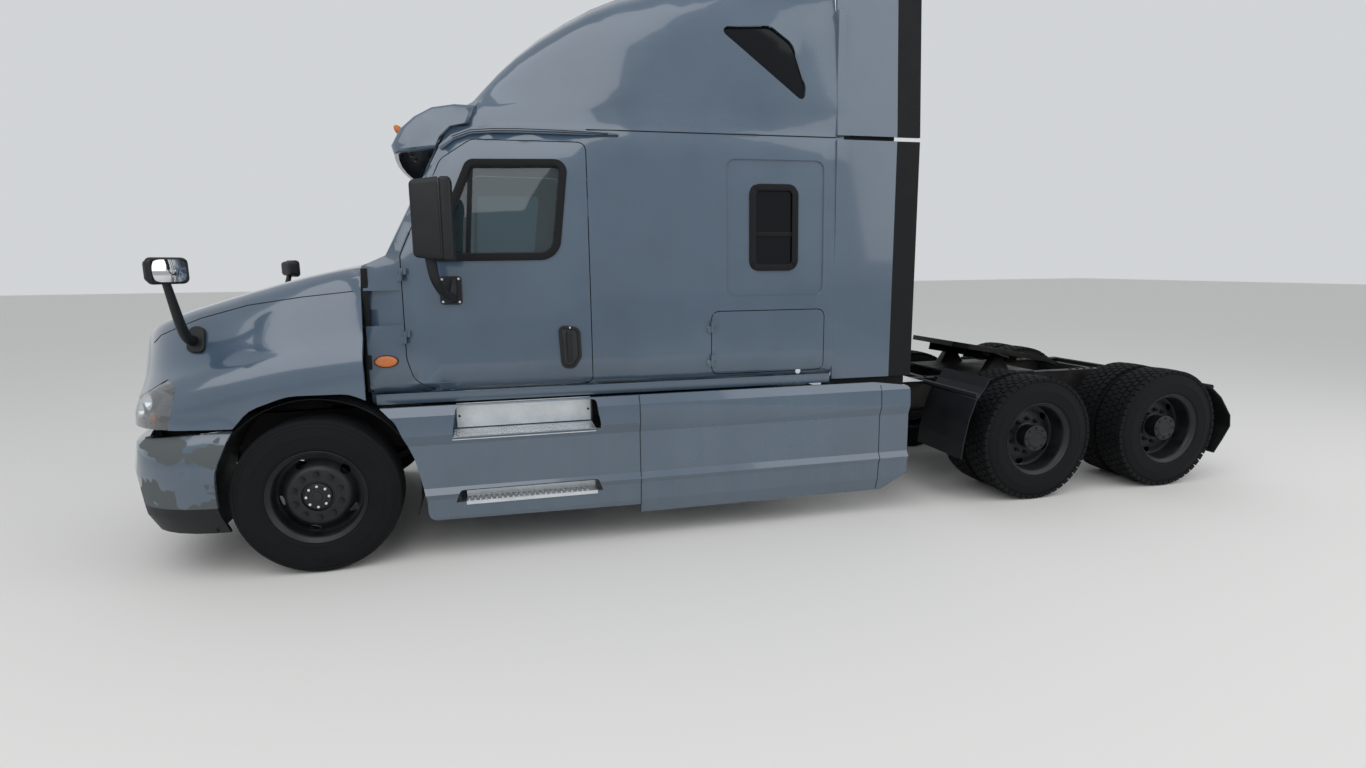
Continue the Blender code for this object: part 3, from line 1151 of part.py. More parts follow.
def make_rear(plate_pivot):
    """Fifth wheel and its base, quarter fenders and the tail bar."""
    pivot_x = PLATE_FRONT_X - PLATE_L * PLATE_PIVOT_SHARE
    front = PLATE_L * PLATE_PIVOT_SHARE
    rear = front - PLATE_L
    outline = [(front, PLATE_HALF * 0.70), (front - PLATE_HALF * 0.2, PLATE_HALF * 0.95),
               (front - PLATE_HALF * 0.5, PLATE_HALF), (rear, PLATE_HALF), (rear, THROAT_HALF),
               (rear + THROAT_L, THROAT_R)]
    arc = [(rear + THROAT_L + THROAT_R * (1 + math.cos(math.radians(a))),
            THROAT_R * math.sin(math.radians(a)))
           for a in (60, 0, -60)]
    shape = outline + arc + [(x, -y) for x, y in reversed(outline)]
    plate = prism("fifth_wheel", shape, "Z", -PLATE_T, 0)
    rib_y = (PLATE_HALF * 0.55, PLATE_HALF * 0.65)
    pin_z = -PLATE_T - PLATE_RIB_H / 2
    for _, side in SIDES:
        rib = block("rib", (-PLATE_L * 0.3, PLATE_L * 0.3), sorted((side * rib_y[0], side * rib_y[1])),
                    (-PLATE_T - PLATE_RIB_H, -PLATE_T + WELD))
        trunnion = turned("trunnion", [(TRUNNION_R, side * PLATE_HALF * 0.6),
                                       (TRUNNION_R, side * (rib_y[1] + RUN - SEAT))],
                          (0, 0, pin_z), steps=PART_STEPS)
        ramp = [(rear + WELD, 0), (rear + WELD, -PLATE_T), (rear - RAMP_L, -PLATE_T * 0.6 - RAMP_DROP),
                (rear - RAMP_L, -RAMP_DROP)]
        ramp_y = sorted((side * (THROAT_HALF + WELD), side * (PLATE_HALF - WELD)))
        join(plate, rib, trunnion, prism("ramp", ramp, "Y", ramp_y[0], ramp_y[1]))
    tilt = Matrix.Rotation(math.radians(-PLATE_TILT), 4, "Y")
    lifted = Matrix.Translation((pivot_x, 0, PLATE_PIVOT_Z))
    plate.data.transform(lifted @ tilt @ Matrix.Translation((0, 0, -pin_z)))
    hang(plate, plate_pivot, STEEL)

    top = RAIL_TOP + SEAT
    base = block("fifth_wheel_base", (pivot_x - PLATE_L * 0.4, pivot_x + PLATE_L * 0.45),
                 (-FRAME_HALF, FRAME_HALF),
                 (top, top + SLIDE_T))
    for _, side in SIDES:
        cheeks = sorted((side * (rib_y[1] + RUN), side * (rib_y[1] + RUN + PEDESTAL_W)))
        foot_z = top + SLIDE_T - WELD
        head_z = PLATE_PIVOT_Z + ARM_T * 0.3
        outline = [(pivot_x - PEDESTAL_L / 2, foot_z), (pivot_x + PEDESTAL_L / 2, foot_z),
                   (pivot_x + ARM_T * 0.6, head_z), (pivot_x - ARM_T * 0.6, head_z)]
        join(base, prism("pedestal", outline, "Y", cheeks[0], cheeks[1]))
    hang(base, vehicle, STEEL)

    for label, side in SIDES:
        outer = [(DRIVE_AXLES[0] + x, z) for x, z in FENDER]
        ends = sorted((side * FENDER_Y[0], side * FENDER_Y[1]))
        fender = prism("quarter_fender_" + label, outer + beside(outer, FENDER_T)[::-1], "Y", ends[0],
                       ends[1])
        stay_x, stay_z = DRIVE_AXLES[0] + FENDER_TUBE[0], FENDER_TUBE[1]
        stay = tube("stay", ((stay_x, side * (FRAME_HALF + SEAT), stay_z),
                             (stay_x, side * FENDER_Y[1], stay_z)),
                    FENDER_TUBE_R)
        join(fender, stay)
        hang(fender, vehicle, PLASTIC)

    bar_x = RAIL_REAR_X - SEAT - TAIL_TUBE_R
    bar = block("tail_bar", (bar_x - TAIL_TUBE_R, bar_x + TAIL_TUBE_R), (-FRAME_HALF, FRAME_HALF),
                (RAIL_TOP - RAIL_H, RAIL_TOP))
    outer = [(-WHEELBASE - x, z) for x, z in FLAP]
    top_x, bar_z = outer[0]
    for _, side in SIDES:
        inner_y, outer_y = side * (TYRE_FACE_Y - FLAP_W), side * TYRE_FACE_Y
        route = ((bar_x, side * (FRAME_HALF - WELD), bar_z),
                 (bar_x, side * (FRAME_HALF + TAIL_TUBE_R * 2), bar_z),
                 (top_x, inner_y, bar_z), (top_x, outer_y, bar_z))
        arm = tube("arm", route, TAIL_TUBE_R * 0.7)
        flap = prism("flap", outer + beside(outer, -FLAP_T)[::-1], "Y", min(inner_y, outer_y),
                     max(inner_y, outer_y))
        join(bar, arm, flap)
    hang(bar, vehicle, RUBBER)


def make_mirrors(door_pivots):
    """Tall door mirrors on an arm from a pad on the door."""
    x0, x1 = MIRROR_X
    y0, y1 = MIRROR_Y
    shape = rounded([(x0, y0, ARM_T), (x0, y1, ARM_T * 1.5), (x1, y1, ARM_T * 0.3), (x1, y0, ARM_T * 0.3)], 3)
    low, high = MIRROR_Z
    rings = []
    for share, shrink in ((0, 0.3), (0.06, 0.0), (0.94, 0.0), (1, 0.3)):
        rings.append([(x, y, low + share * (high - low)) for x, y in offset(shape, -shrink * ARM_T)])
    mirror = loft("door_mirror_left", rings)
    face = MIRROR_PAD_X
    pad_z = MIRROR_PAD_Z
    pad_y = CAB_HALF * 0.90
    pad = block("pad", (face - MIRROR_PAD * 0.6, face + MIRROR_PAD * 0.6), (pad_y, pad_y + MIRROR_PAD),
                (pad_z - MIRROR_PAD, pad_z + MIRROR_PAD))
    arm = tube("arm", ((face, pad_y + MIRROR_PAD * 0.8, pad_z),
                       (face, pad_y + MIRROR_PAD * 1.2, pad_z + MIRROR_PAD * 0.5),
                       ((x0 + x1) / 2, (y0 + y1) / 2, low + ARM_T)), MIRROR_ARM_R)
    join(mirror, pad, arm)
    boolean(mirror, cab_solid("cab_skin", -SEAT, SEAT))
    hang(mirrored(mirror, "door_mirror_right"), door_pivots["right"], PLASTIC)
    hang(mirror, door_pivots["left"], PLASTIC)


def make_inside():
    """Dashboard with the steering wheel, two seats and the bunk."""
    floor = SILL_Z + FLOOR_T + SEAT
    wide = CAB_HALF * 0.90 - WALL - RUN * 6
    front = COWL_X - WALL - SEAT
    outline = [(front, floor), (front, DASH_Z[1]), (DASH_X + ARM_W * 2, DASH_Z[1]),
               (DASH_X, DASH_Z[1] - ARM_W),
               (DASH_X, DASH_Z[0]), (DASH_X + ARM_W * 2, DASH_Z[0] - ARM_W), (front - ARM_W, floor)]
    dash = prism("dashboard", outline, "Y", -wide, wide)
    boolean(dash, cab_solid("inside", WALL + SEAT, 0), "INTERSECT")
    steering = turned("rim", [(WHEEL_RIM_R + WHEEL_RIM_T * math.cos(math.tau * k / RIM_STEPS),
                               WHEEL_RIM_T * math.sin(math.tau * k / RIM_STEPS))
                              for k in range(RIM_STEPS)], (0, 0, 0), "Z", 16, wrap=True)
    hub = turned("hub", [(WHEEL_RIM_R * 0.35, -WHEEL_RIM_T), (WHEEL_RIM_R * 0.35, WHEEL_RIM_T)], (0, 0, 0),
                 "Z", HUB_STEPS)
    spokes = block("spokes", (-WHEEL_RIM_T, WHEEL_RIM_T), (-WHEEL_RIM_R, WHEEL_RIM_R),
                   (-WHEEL_RIM_T / 2, WHEEL_RIM_T / 2))
    join(steering, hub, spokes)
    column = tube("column", ((0, 0, 0), (0, 0, -WHEEL_RIM_R * 1.2)), WHEEL_RIM_T * 2)
    join(steering, column)
    lean = Matrix.Rotation(math.radians(-WHEEL_TILT), 4, "Y")
    spot = Matrix.Translation((DASH_X - WHEEL_RIM_R * 0.7, SEAT_Y, DASH_Z[1] - WHEEL_RIM_T))
    steering.data.transform(spot @ lean)
    join(dash, steering)
    hang(dash, vehicle, PLASTIC)
    for label, side in SIDES:
        x = SEAT_X
        back_x = x - SEAT_D / 2
        profile = [(x + SEAT_D * 0.3, floor), (x + SEAT_D * 0.3, floor + SEAT_H * 0.7),
                   (x + SEAT_D / 2, floor + SEAT_H * 0.75),
                   (x + SEAT_D / 2, floor + SEAT_H), (back_x + SEAT_D * 0.2, floor + SEAT_H),
                   (back_x, floor + SEAT_H * 2.5),
                   (back_x - SEAT_D * 0.2, floor + SEAT_H * 2.5),
                   (back_x - SEAT_D * 0.05, floor + SEAT_H * 0.7), (back_x + SEAT_D * 0.2, floor)]
        ends = sorted((side * (SEAT_Y - SEAT_W / 2), side * (SEAT_Y + SEAT_W / 2)))
        hang(prism("seat_" + label, profile, "Y", ends[0], ends[1]), vehicle, CLOTH)
    back = BACK_X + WALL + SEAT
    bunk_half = CAB_HALF * 0.965 - WALL - RUN
    bunk = block("bunk", (BUNK_X, back), (-bunk_half, bunk_half), (BUNK_Z, BUNK_Z + BUNK_T))
    join(bunk, block("bunk_box", (BUNK_X - BUNK_T, back), (-bunk_half + BUNK_T, bunk_half - BUNK_T),
                     (floor, BUNK_Z + WELD)))
    boolean(bunk, cab_solid("inside", WALL + SEAT, 0), "INTERSECT")
    hang(bunk, vehicle, CLOTH)


knuckles = {label: pivot("steer_" + label, (0, side * KINGPIN_Y, TYRE_R)) for label, side in SIDES}
doors = {label: pivot("hinge_door_" + label, (DOOR[0][0] + RUN / 2, side * DOOR_HINGE_Y, DOOR_HINGE_Z[0]))
         for label, side in SIDES}
lids = {label: pivot("hinge_lid_" + label, (LID[0][0] + RUN / 2, side * LID_HINGE_Y, LID_HINGE_Z[0]))
        for label, side in SIDES}
hood_hinge = pivot("hinge_hood", (HINGE_X, 0, HINGE_Z))
plate_hinge = pivot("hinge_plate", (PLATE_FRONT_X - PLATE_L * PLATE_PIVOT_SHARE, 0, PLATE_PIVOT_Z))

make_frame()
make_powertrain()
make_front_axle()
for axle_number, axle_x in enumerate(DRIVE_AXLES, 1):
    make_drive_axle(axle_number, axle_x)
    for side_label, side_sign in SIDES:
        make_twins(axle_number, axle_x, side_label, side_sign)
for side_label, side_sign in SIDES:
    make_front_wheel(side_label, side_sign, knuckles[side_label])
make_hood(hood_hinge)
make_bumper()
make_cab(doors, lids)
make_roof()
make_skirts()
make_extenders()
make_rear(plate_hinge)
make_mirrors(doors)
make_inside()
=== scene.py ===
# %% [markdown]
# A semi truck tractor unit is dressed here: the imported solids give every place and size,
# and this script gives each of them its real surface and the smaller parts a truck shows.
# The solids come in as a fixed frame, so nothing needs to be fitted by eye.

# %% Load the frame
import json
import math

import bmesh
import bpy
import numpy as np
from mathutils import Matrix, Vector
from mathutils.bvhtree import BVHTree


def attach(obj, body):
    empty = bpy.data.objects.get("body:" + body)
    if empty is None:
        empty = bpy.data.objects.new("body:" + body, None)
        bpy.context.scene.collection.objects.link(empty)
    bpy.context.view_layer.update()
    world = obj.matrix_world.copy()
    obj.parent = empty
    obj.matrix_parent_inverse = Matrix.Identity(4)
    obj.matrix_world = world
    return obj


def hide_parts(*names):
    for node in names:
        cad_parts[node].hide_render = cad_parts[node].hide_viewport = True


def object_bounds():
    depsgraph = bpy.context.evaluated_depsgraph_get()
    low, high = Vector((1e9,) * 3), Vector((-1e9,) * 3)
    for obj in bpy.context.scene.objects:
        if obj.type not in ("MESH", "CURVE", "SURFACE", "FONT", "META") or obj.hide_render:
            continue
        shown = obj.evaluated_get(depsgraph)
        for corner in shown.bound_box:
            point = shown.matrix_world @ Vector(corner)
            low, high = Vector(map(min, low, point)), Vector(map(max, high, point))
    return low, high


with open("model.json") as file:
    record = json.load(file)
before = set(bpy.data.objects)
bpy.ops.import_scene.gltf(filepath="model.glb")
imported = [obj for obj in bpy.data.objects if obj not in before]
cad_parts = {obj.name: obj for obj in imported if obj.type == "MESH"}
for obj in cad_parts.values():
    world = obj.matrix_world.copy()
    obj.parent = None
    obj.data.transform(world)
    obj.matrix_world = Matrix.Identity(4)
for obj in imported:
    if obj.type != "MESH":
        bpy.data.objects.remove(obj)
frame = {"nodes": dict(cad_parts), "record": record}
cad_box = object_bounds()
nodes = frame["nodes"]
SIDES = ("left", "right")
DX = 3.075                      # the front axle's place along the truck


def linked(name, data):
    """A new object in the scene that carries a mesh, a curve, a lamp or a camera."""
    made = bpy.data.objects.new(name, data)
    bpy.context.scene.collection.objects.link(made)
    return made


# %% [markdown]
# The camera stands close to the truck's left side with a wide lens. Its place was worked out
# from the wheels, whose rims are a standard size, so the picture's perspective comes out alike.

# %% Camera
IMAGE = (1366, 768)
FOCAL_PIXELS = 723.6
CAMERA_SPOT = (DX - 1.146, 6.052, 1.954)
CAMERA_YAW, CAMERA_PITCH, CAMERA_ROLL = -14.52, 9.46, -0.50
yaw, pitch, roll = (math.radians(a) for a in (CAMERA_YAW, CAMERA_PITCH, CAMERA_ROLL))
ahead = Vector((math.sin(yaw) * math.cos(pitch), -math.cos(yaw) * math.cos(pitch), -math.sin(pitch)))
right = Vector((-math.cos(yaw), -math.sin(yaw), 0))
above = right.cross(ahead)
turned_right = right * math.cos(roll) + above * math.sin(roll)
turned_up = above * math.cos(roll) - right * math.sin(roll)
lens = bpy.data.cameras.new("camera")
lens.sensor_width = 36
lens.lens = FOCAL_PIXELS / IMAGE[0] * lens.sensor_width
lens.clip_end = 200
camera = linked("camera", lens)
camera.matrix_world = Matrix.Translation(CAMERA_SPOT) @ Matrix(
    (turned_right, turned_up, -ahead)).transposed().to_4x4()
bpy.context.scene.camera = camera
bpy.context.scene.view_settings.view_transform = "Standard"
print("lens: %.2f mm" % lens.lens)

# %% [markdown]
# A material is a small tree of nodes. One helper adds a node, sets its sockets and links
# whatever is handed to it; another turns the hex colours of a paint chart to linear light.

# %% Helpers for materials
def linear(code):
    """sRGB hex to a linear colour with alpha."""
    parts = [int(code[i:i + 2], 16) / 255 for i in (0, 2, 4)]
    return tuple(c / 12.92 if c <= 0.04045 else ((c + 0.055) / 1.055) ** 2.4 for c in parts) + (1,)


def add(tree, kind, settings=None, **sockets):
    """Adds a node. A socket is named with _ for a space, and takes a value or another node's output."""
    node = tree.nodes.new("ShaderNode" + kind)
    for key, value in (settings or {}).items():
        setattr(node, key, value)
    for key, value in sockets.items():
        socket = node.inputs[int(key[1:]) if key[0] == "i" and key[1:].isdigit() else key.replace("_", " ")]
        if isinstance(value, bpy.types.NodeSocket):
            tree.links.new(value, socket)
        else:
            socket.default_value = value
    return node


def material(name, **sockets):
    """A new material with its Principled shader set."""
    made = bpy.data.materials.new(name)
    made.use_nodes = True
    shader = made.node_tree.nodes["Principled BSDF"]
    for key, value in sockets.items():
        shader.inputs[key.replace("_", " ")].default_value = value
    return made, made.node_tree, shader


def feed(tree, shader, **outputs):
    """Links nodes to the shader's sockets."""
    for key, output in outputs.items():
        tree.links.new(output, shader.inputs[key.replace("_", " ")])


def bumped(tree, height, strength, distance):
    """The direction of a surface that a height disturbs."""
    return add(tree, "Bump", Height=height, Strength=strength, Distance=distance).outputs[0]


def place(tree, scale=(1, 1, 1)):
    """Object coordinates in metres, stretched by a scale."""
    coordinates = tree.nodes.new("ShaderNodeTexCoord")
    return add(tree, "Mapping", Vector=coordinates.outputs["Object"], Scale=scale).outputs[0]


def ramp(tree, value, *stops):
    """A colour ramp over a value; stops are (position, hex or grey)."""
    node = add(tree, "ValToRGB", Fac=value)
    band = node.color_ramp
    while len(band.elements) < len(stops):
        band.elements.new(0.5)
    for element, (position, colour) in zip(band.elements, stops):
        element.position = position
        element.color = linear(colour) if isinstance(colour, str) else (colour, colour, colour, 1)
    return node.outputs[0]


print("helpers ready")

# %% [markdown]
# Truck paint is a coloured coat under a clear one. Close up it has a fine orange peel, and
# a truck that works for its living carries a film of road dust low down.
# At the bumper's corners the coat has flaked away in patches and left duller primer.

# %% Enamel paint
PEEL_MM = 9
DUST_FROM, DUST_TO = 0.25, 1.5  # heights between which the dust thins out
CORNER_FROM, CORNER_TO = 0.65, 1.05
FLAKED = 0.60                   # the noise above which the coat is gone


def coated(name, flaked=False):
    """Enamel whose blue-grey is partly its own tint and partly a painted reflection of blue sky, if wanted
    with flaked patches towards the truck's sides.
    """
    made, tree, shader = material(name, Coat_Weight=1.0, Coat_Roughness=0.06, IOR=1.5)
    patches = add(tree, "TexNoise", Vector=place(tree), Scale=1.3, Detail=5.0, Roughness=0.6)
    streaks = add(tree, "TexNoise", Vector=place(tree, (9, 9, 0.9)), Scale=1.0, Detail=6.0, Roughness=0.7)
    axes = add(tree, "SeparateXYZ", Vector=place(tree)).outputs
    low = add(tree, "MapRange", Value=axes["Z"], From_Min=DUST_FROM, From_Max=DUST_TO, To_Min=0.45,
              To_Max=0.0)
    film = add(tree, "Math", {"operation": "MULTIPLY", "use_clamp": True}, i0=low.outputs[0],
               i1=streaks.outputs[0])
    # the blue in these tones is partly the paint's own colour and partly a painted reflection of blue sky
    tone = ramp(tree, patches.outputs[0], (0.3, "3c4d5f"), (0.7, "445769"))
    tone = add(tree, "Mix", {"data_type": "RGBA"}, i0=film.outputs[0], i6=tone,
               i7=linear("666e74")).outputs[2]
    gloss = ramp(tree, patches.outputs[0], (0.35, 0.20), (0.75, 0.30))
    if flaked:
        side = add(tree, "Math", {"operation": "ABSOLUTE"}, i0=axes["Y"])
        reach = add(tree, "MapRange", Value=side.outputs[0], From_Min=CORNER_FROM, From_Max=CORNER_TO,
                    To_Min=-0.2, To_Max=0.12)
        flakes = add(tree, "TexNoise", Vector=place(tree), Scale=3.4, Detail=4.0, Roughness=0.45,
                     Distortion=0.5)
        total = add(tree, "Math", i0=flakes.outputs[0], i1=reach.outputs[0])
        bare = add(tree, "Math", {"operation": "GREATER_THAN"}, i0=total.outputs[0], i1=FLAKED).outputs[0]
        tone = add(tree, "Mix", {"data_type": "RGBA"}, i0=bare, i6=tone, i7=linear("4a5052")).outputs[2]
        gloss = add(tree, "Mix", {"data_type": "RGBA"}, i0=bare, i6=gloss,
                    i7=(0.65, 0.65, 0.65, 1)).outputs[2]
        feed(tree, shader, Coat_Weight=add(tree, "Math", {"operation": "SUBTRACT"}, i0=1.0,
                                           i1=bare).outputs[0])
    peel = add(tree, "TexNoise", Vector=place(tree), Scale=1000 / PEEL_MM, Detail=1.0)
    feed(tree, shader, Base_Color=tone, Roughness=gloss, Normal=bumped(tree, peel.outputs[0], 0.03, 0.002))
    return made


enamel = coated("enamel_grey")
scuffed_enamel = coated("enamel_scuffed", flaked=True)
print("paint:", enamel.name, "and", scuffed_enamel.name)

# %% [markdown]
# The other finishes: moulded black plastic with its grain, tyre rubber, chassis steel under
# satin black, tinted glass, bright aluminium and woven cloth inside.

# %% Plain finishes
def grained(name, dark, pale, rough, grain_mm, bump, metallic=0.0, **more):
    """A finish whose tone and roughness wander, with a fine grain in its surface."""
    made, tree, shader = material(name, Metallic=metallic, **more)
    clouds = add(tree, "TexNoise", Vector=place(tree), Scale=6.0, Detail=6.0, Roughness=0.65)
    grain = add(tree, "TexNoise", Vector=place(tree), Scale=1000 / grain_mm, Detail=2.0)
    feed(tree, shader, Base_Color=ramp(tree, clouds.outputs[0], (0.32, dark), (0.72, pale)),
         Roughness=ramp(tree, clouds.outputs[0], (0.3, rough[0]), (0.75, rough[1])),
         Normal=bumped(tree, grain.outputs[0], bump, 0.001))
    return made


plastic = grained("moulded_polypropylene", "0d1013", "171b1f", (0.45, 0.6), 3, 0.3, Specular_IOR_Level=0.35)
rubber = grained("weatherstrip_epdm", "07080a", "101214", (0.6, 0.8), 4, 0.2, Specular_IOR_Level=0.25)
tyre_rubber = grained("tyre_rubber", "07080a", "131517", (0.7, 0.9), 5, 0.3, Specular_IOR_Level=0.2)
chassis = grained("chassis_black_steel", "0f1113", "25231f", (0.4, 0.75), 4, 0.35, 0.3)
wheel_steel = grained("wheel_black_enamel", "0c0e11", "1d1f22", (0.35, 0.6), 6, 0.15, 0.2)
grease = grained("greased_cast_steel", "0a0a0b", "1e1b17", (0.25, 0.6), 7, 0.5, 0.6)
aluminium = grained("mill_aluminium", "c9ced2", "e6eaed", (0.28, 0.45), 2, 0.1, 0.75)
cloth = grained("woven_polyester", "26282b", "3a3d42", (0.85, 0.95), 3, 0.5, Sheen_Weight=0.3)
glass = material("tinted_glass", Base_Color=linear("6d8790"), Roughness=0.02, IOR=1.5,
                 Transmission_Weight=0.9)[0]
lamp_glass = material("polycarbonate_lens", Base_Color=linear("e8ecee"), Roughness=0.03, IOR=1.58,
                      Transmission_Weight=0.95)[0]
print("finishes made")

# %% [markdown]
# Pieces are modelled with the same operators that a person uses in the viewport. A few helpers
# keep that short: one adds a primitive, one selects parts of it by their place, one applies
# modifiers, and one turns a finished piece over to the truck. Places are written from the
# middle of the front axle, because that is how a truck is measured.

# %% Helpers for modelling
MOVE = Matrix.Translation((DX, 0, 0))
MIRRORED = Matrix.Scale(-1, 4, (0, 1, 0))
FRONT = (0, 0, 0.510)


def leave():
    """Goes back to object mode with nothing selected."""
    if bpy.context.mode != "OBJECT":
        bpy.ops.object.mode_set(mode="OBJECT")
    bpy.ops.object.select_all(action="DESELECT")


def only(piece):
    """Makes one piece the selected and active one."""
    leave()
    piece.select_set(True)
    bpy.context.view_layer.objects.active = piece


def fresh(kind, name, **where):
    """Adds one primitive with nothing else selected."""
    leave()
    getattr(bpy.ops.mesh, "primitive_" + kind + "_add")(**where)
    piece = bpy.context.object
    piece.name = name
    return piece


def pick(piece, mode, test):
    """Enters edit mode and selects the corners, edges or faces whose middle passes a test."""
    only(piece)
    bpy.ops.object.mode_set(mode="EDIT")
    bpy.ops.mesh.select_mode(type=mode)
    bpy.ops.mesh.select_all(action="DESELECT")
    work = bmesh.from_edit_mesh(piece.data)
    for part in {"VERT": work.verts, "EDGE": work.edges, "FACE": work.faces}[mode]:
        corners = [part] if mode == "VERT" else list(part.verts)
        if test(sum((c.co for c in corners), Vector()) / len(corners), part):
            part.select_set(True)
    work.select_flush_mode()
    bmesh.update_edit_mesh(piece.data)


def whole(piece, mode):
    """Enters edit mode with everything selected."""
    pick(piece, mode, lambda middle, part: True)


def settle(piece):
    """Applies a piece's place, turn and size."""
    only(piece)
    bpy.ops.object.transform_apply(location=True, rotation=True, scale=True)
    return piece


def joined(parts):
    """The first piece with all the others joined to it."""
    only(parts[0])
    for part in parts[1:]:
        part.select_set(True)
    if len(parts) > 1:
        bpy.ops.object.join()
    return parts[0]


def peg(name, radius, depth, vertices, at=(0, 0, 0)):
    """A cylinder that lies along y."""
    return settle(fresh("cylinder", name, vertices=vertices, radius=radius, depth=depth, location=at,
                        rotation=(math.pi / 2, 0, 0)))


def shape(piece, kind, **settings):
    """Adds a modifier and applies it."""
    only(piece)
    made = piece.modifiers.new(kind.lower(), kind)
    for key, value in settings.items():
        setattr(made, key, value)
    bpy.ops.object.modifier_apply(modifier=made.name)
    return piece


def soften(piece, width, segments=2, angle=30):
    """Bevels the edges that fold by more than an angle."""
    return shape(piece, "BEVEL", width=width, segments=segments, limit_method="ANGLE",
                 angle_limit=math.radians(angle))


def cut(piece, tool, operation="DIFFERENCE"):
    """Cuts a piece by a tool, or keeps what is in both, and removes the tool."""
    shape(piece, "BOOLEAN", operation=operation, object=tool, solver="EXACT")
    bpy.data.objects.remove(tool)


def moved(piece, way):
    """Shifts a piece's mesh."""
    piece.data.transform(Matrix.Translation(way))
    return piece


def outline_piece(name, points, closed=True):
    """A new piece that is only a line through points."""
    mesh = bpy.data.meshes.new(name)
    count = len(points)
    mesh.from_pydata(points, [(i, (i + 1) % count) for i in range(count if closed else count - 1)], [])
    return linked(name, mesh)


def lathe(name, profile, centre, steps=64, closed=True):
    """Spins a line of (radius, y) points round an axle."""
    piece = outline_piece(name, [(0, y, r) for r, y in profile], closed)
    whole(piece, "VERT")
    bpy.ops.mesh.spin(steps=steps, angle=math.tau, center=(0, 0, 0), axis=(0, 1, 0))
    bpy.ops.mesh.select_all(action="SELECT")
    bpy.ops.mesh.remove_doubles(threshold=0.00005)
    bpy.ops.mesh.normals_make_consistent(inside=False)
    leave()
    return moved(piece, centre)


def ribbon(name, near, far, thick, facing, closed=False, soft=0.0015):
    """A band between two lines of points, thickened towards one side and softened at its edges."""
    piece = outline_piece(name, near, closed)
    joined([piece, outline_piece(name + "_far", far, closed)])
    whole(piece, "EDGE")
    bpy.ops.mesh.bridge_edge_loops()
    leave()
    way = sum((face.normal * face.area for face in piece.data.polygons), Vector())
    if way.dot(Vector(facing)) < 0:
        piece.data.flip_normals()
    shape(piece, "SOLIDIFY", thickness=thick, offset=1.0)
    if soft:
        soften(piece, soft, 2, 50)
    return piece


def rod(name, points, radius, closed=False, steps=3):
    """A round bar or bead along a line of points."""
    curve = bpy.data.curves.new(name, "CURVE")
    curve.dimensions = "3D"
    curve.bevel_depth = radius
    curve.bevel_resolution = steps
    curve.use_fill_caps = True
    line = curve.splines.new("POLY")
    line.points.add(len(points) - 1)
    for point, spot in zip(line.points, points):
        point.co = (*spot, 1)
    line.use_cyclic_u = closed
    only(linked(name, curve))
    bpy.ops.object.convert(target="MESH")
    return bpy.context.object


def repeated(name, source, places):
    """Copies of one shape at many places, as one piece; the source is used up."""
    work = bmesh.new()
    for place_ in places:
        first = len(work.verts)
        work.from_mesh(source.data)
        work.verts.ensure_lookup_table()
        bmesh.ops.transform(work, matrix=place_, verts=work.verts[first:])
    mesh = bpy.data.meshes.new(name)
    work.to_mesh(mesh)
    work.free()
    bpy.data.objects.remove(source)
    return linked(name, mesh)


def done(piece, finish, body="chassis", stands_for=(), smooth=35):
    """Applies a piece's place, moves it from axle to truck, shades it, paints it and lets it ride."""
    settle(piece).data.transform(MOVE)
    piece.data.shade_smooth()
    piece.data.set_sharp_from_angle(angle=math.radians(smooth))
    piece.data.materials.clear()
    piece.data.materials.append(finish)
    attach(piece, body)
    if stands_for:
        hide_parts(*stands_for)
    return piece


def across(piece, body="chassis", stands_for=()):
    """The same piece on the other side of the truck."""
    twin = linked(piece.name.replace("_left", "") + "_right", piece.data.copy())
    twin.data.transform(MIRRORED)
    twin.data.flip_normals()
    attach(twin, body)
    if stands_for:
        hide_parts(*stands_for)
    return twin


def both(piece, finish, body="chassis", stands_for=(), smooth=35):
    """Finishes a left-hand piece and its twin. A body or node that ends in _ takes left or right."""
    def named(words, side):
        return [w + side if w.endswith("_") else w for w in words]
    left = done(piece, finish, named([body], "left")[0], named(stands_for, "left"), smooth)
    return left, across(left, named([body], "right")[0], named(stands_for, "right"))


print("modelling helpers ready")

# %% [markdown]
# A trim strip has to lie on a curved panel. A ray cast at the imported solids finds the paint under
# it, either straight in from the side or along a given way.

# %% Find the paint
trees = {}


def tree_of(name):
    """The search tree of a node's triangles."""
    if name not in trees:
        work = bmesh.new()
        work.from_mesh(nodes[name].data)
        trees[name] = BVHTree.FromBMesh(work)
        work.free()
    return trees[name]


def skin(x, z, names, lift=0.0):
    """The left-hand surface at a place, seen from the side, and a little above the paint."""
    for nudge in (0, 0.004, -0.004, 0.012, -0.012, 0.025, -0.025):
        hits = [tree_of(name).ray_cast(Vector((x + nudge + DX, 3, z)),
                                       Vector((0, -1, 0)))[0] for name in names]
        reach = [hit.y for hit in hits if hit]
        if reach:
            return (x, max(reach) + lift, z)
    return None


def rounded(corners, steps=5):
    """An outline with arcs, from corners of (x, z, radius)."""
    line = []
    for i, (u, v, radius) in enumerate(corners):
        here = Vector((u, v))
        before = (Vector(corners[i - 1][:2]) - here).normalized()
        after = (Vector(corners[(i + 1) % len(corners)][:2]) - here).normalized()
        half = before.angle(after) / 2
        middle = here + (before + after).normalized() * radius / math.sin(half)
        start = here + before * radius / math.tan(half) - middle
        end = here + after * radius / math.tan(half) - middle
        for k in range(steps + 1):
            line.append(middle + start.normalized().slerp(end.normalized(), k / steps) * radius)
    return line


def grown(line, distance):
    """The same outline, grown by a distance."""
    count = len(line)
    turn = 1 if sum(line[i - 1].cross(line[i]) for i in range(count)) > 0 else -1
    larger = []
    for i, here in enumerate(line):
        along = (line[(i + 1) % count] - line[i - 1]).normalized()
        larger.append(here + Vector((along.y, -along.x)) * turn * distance)
    return larger


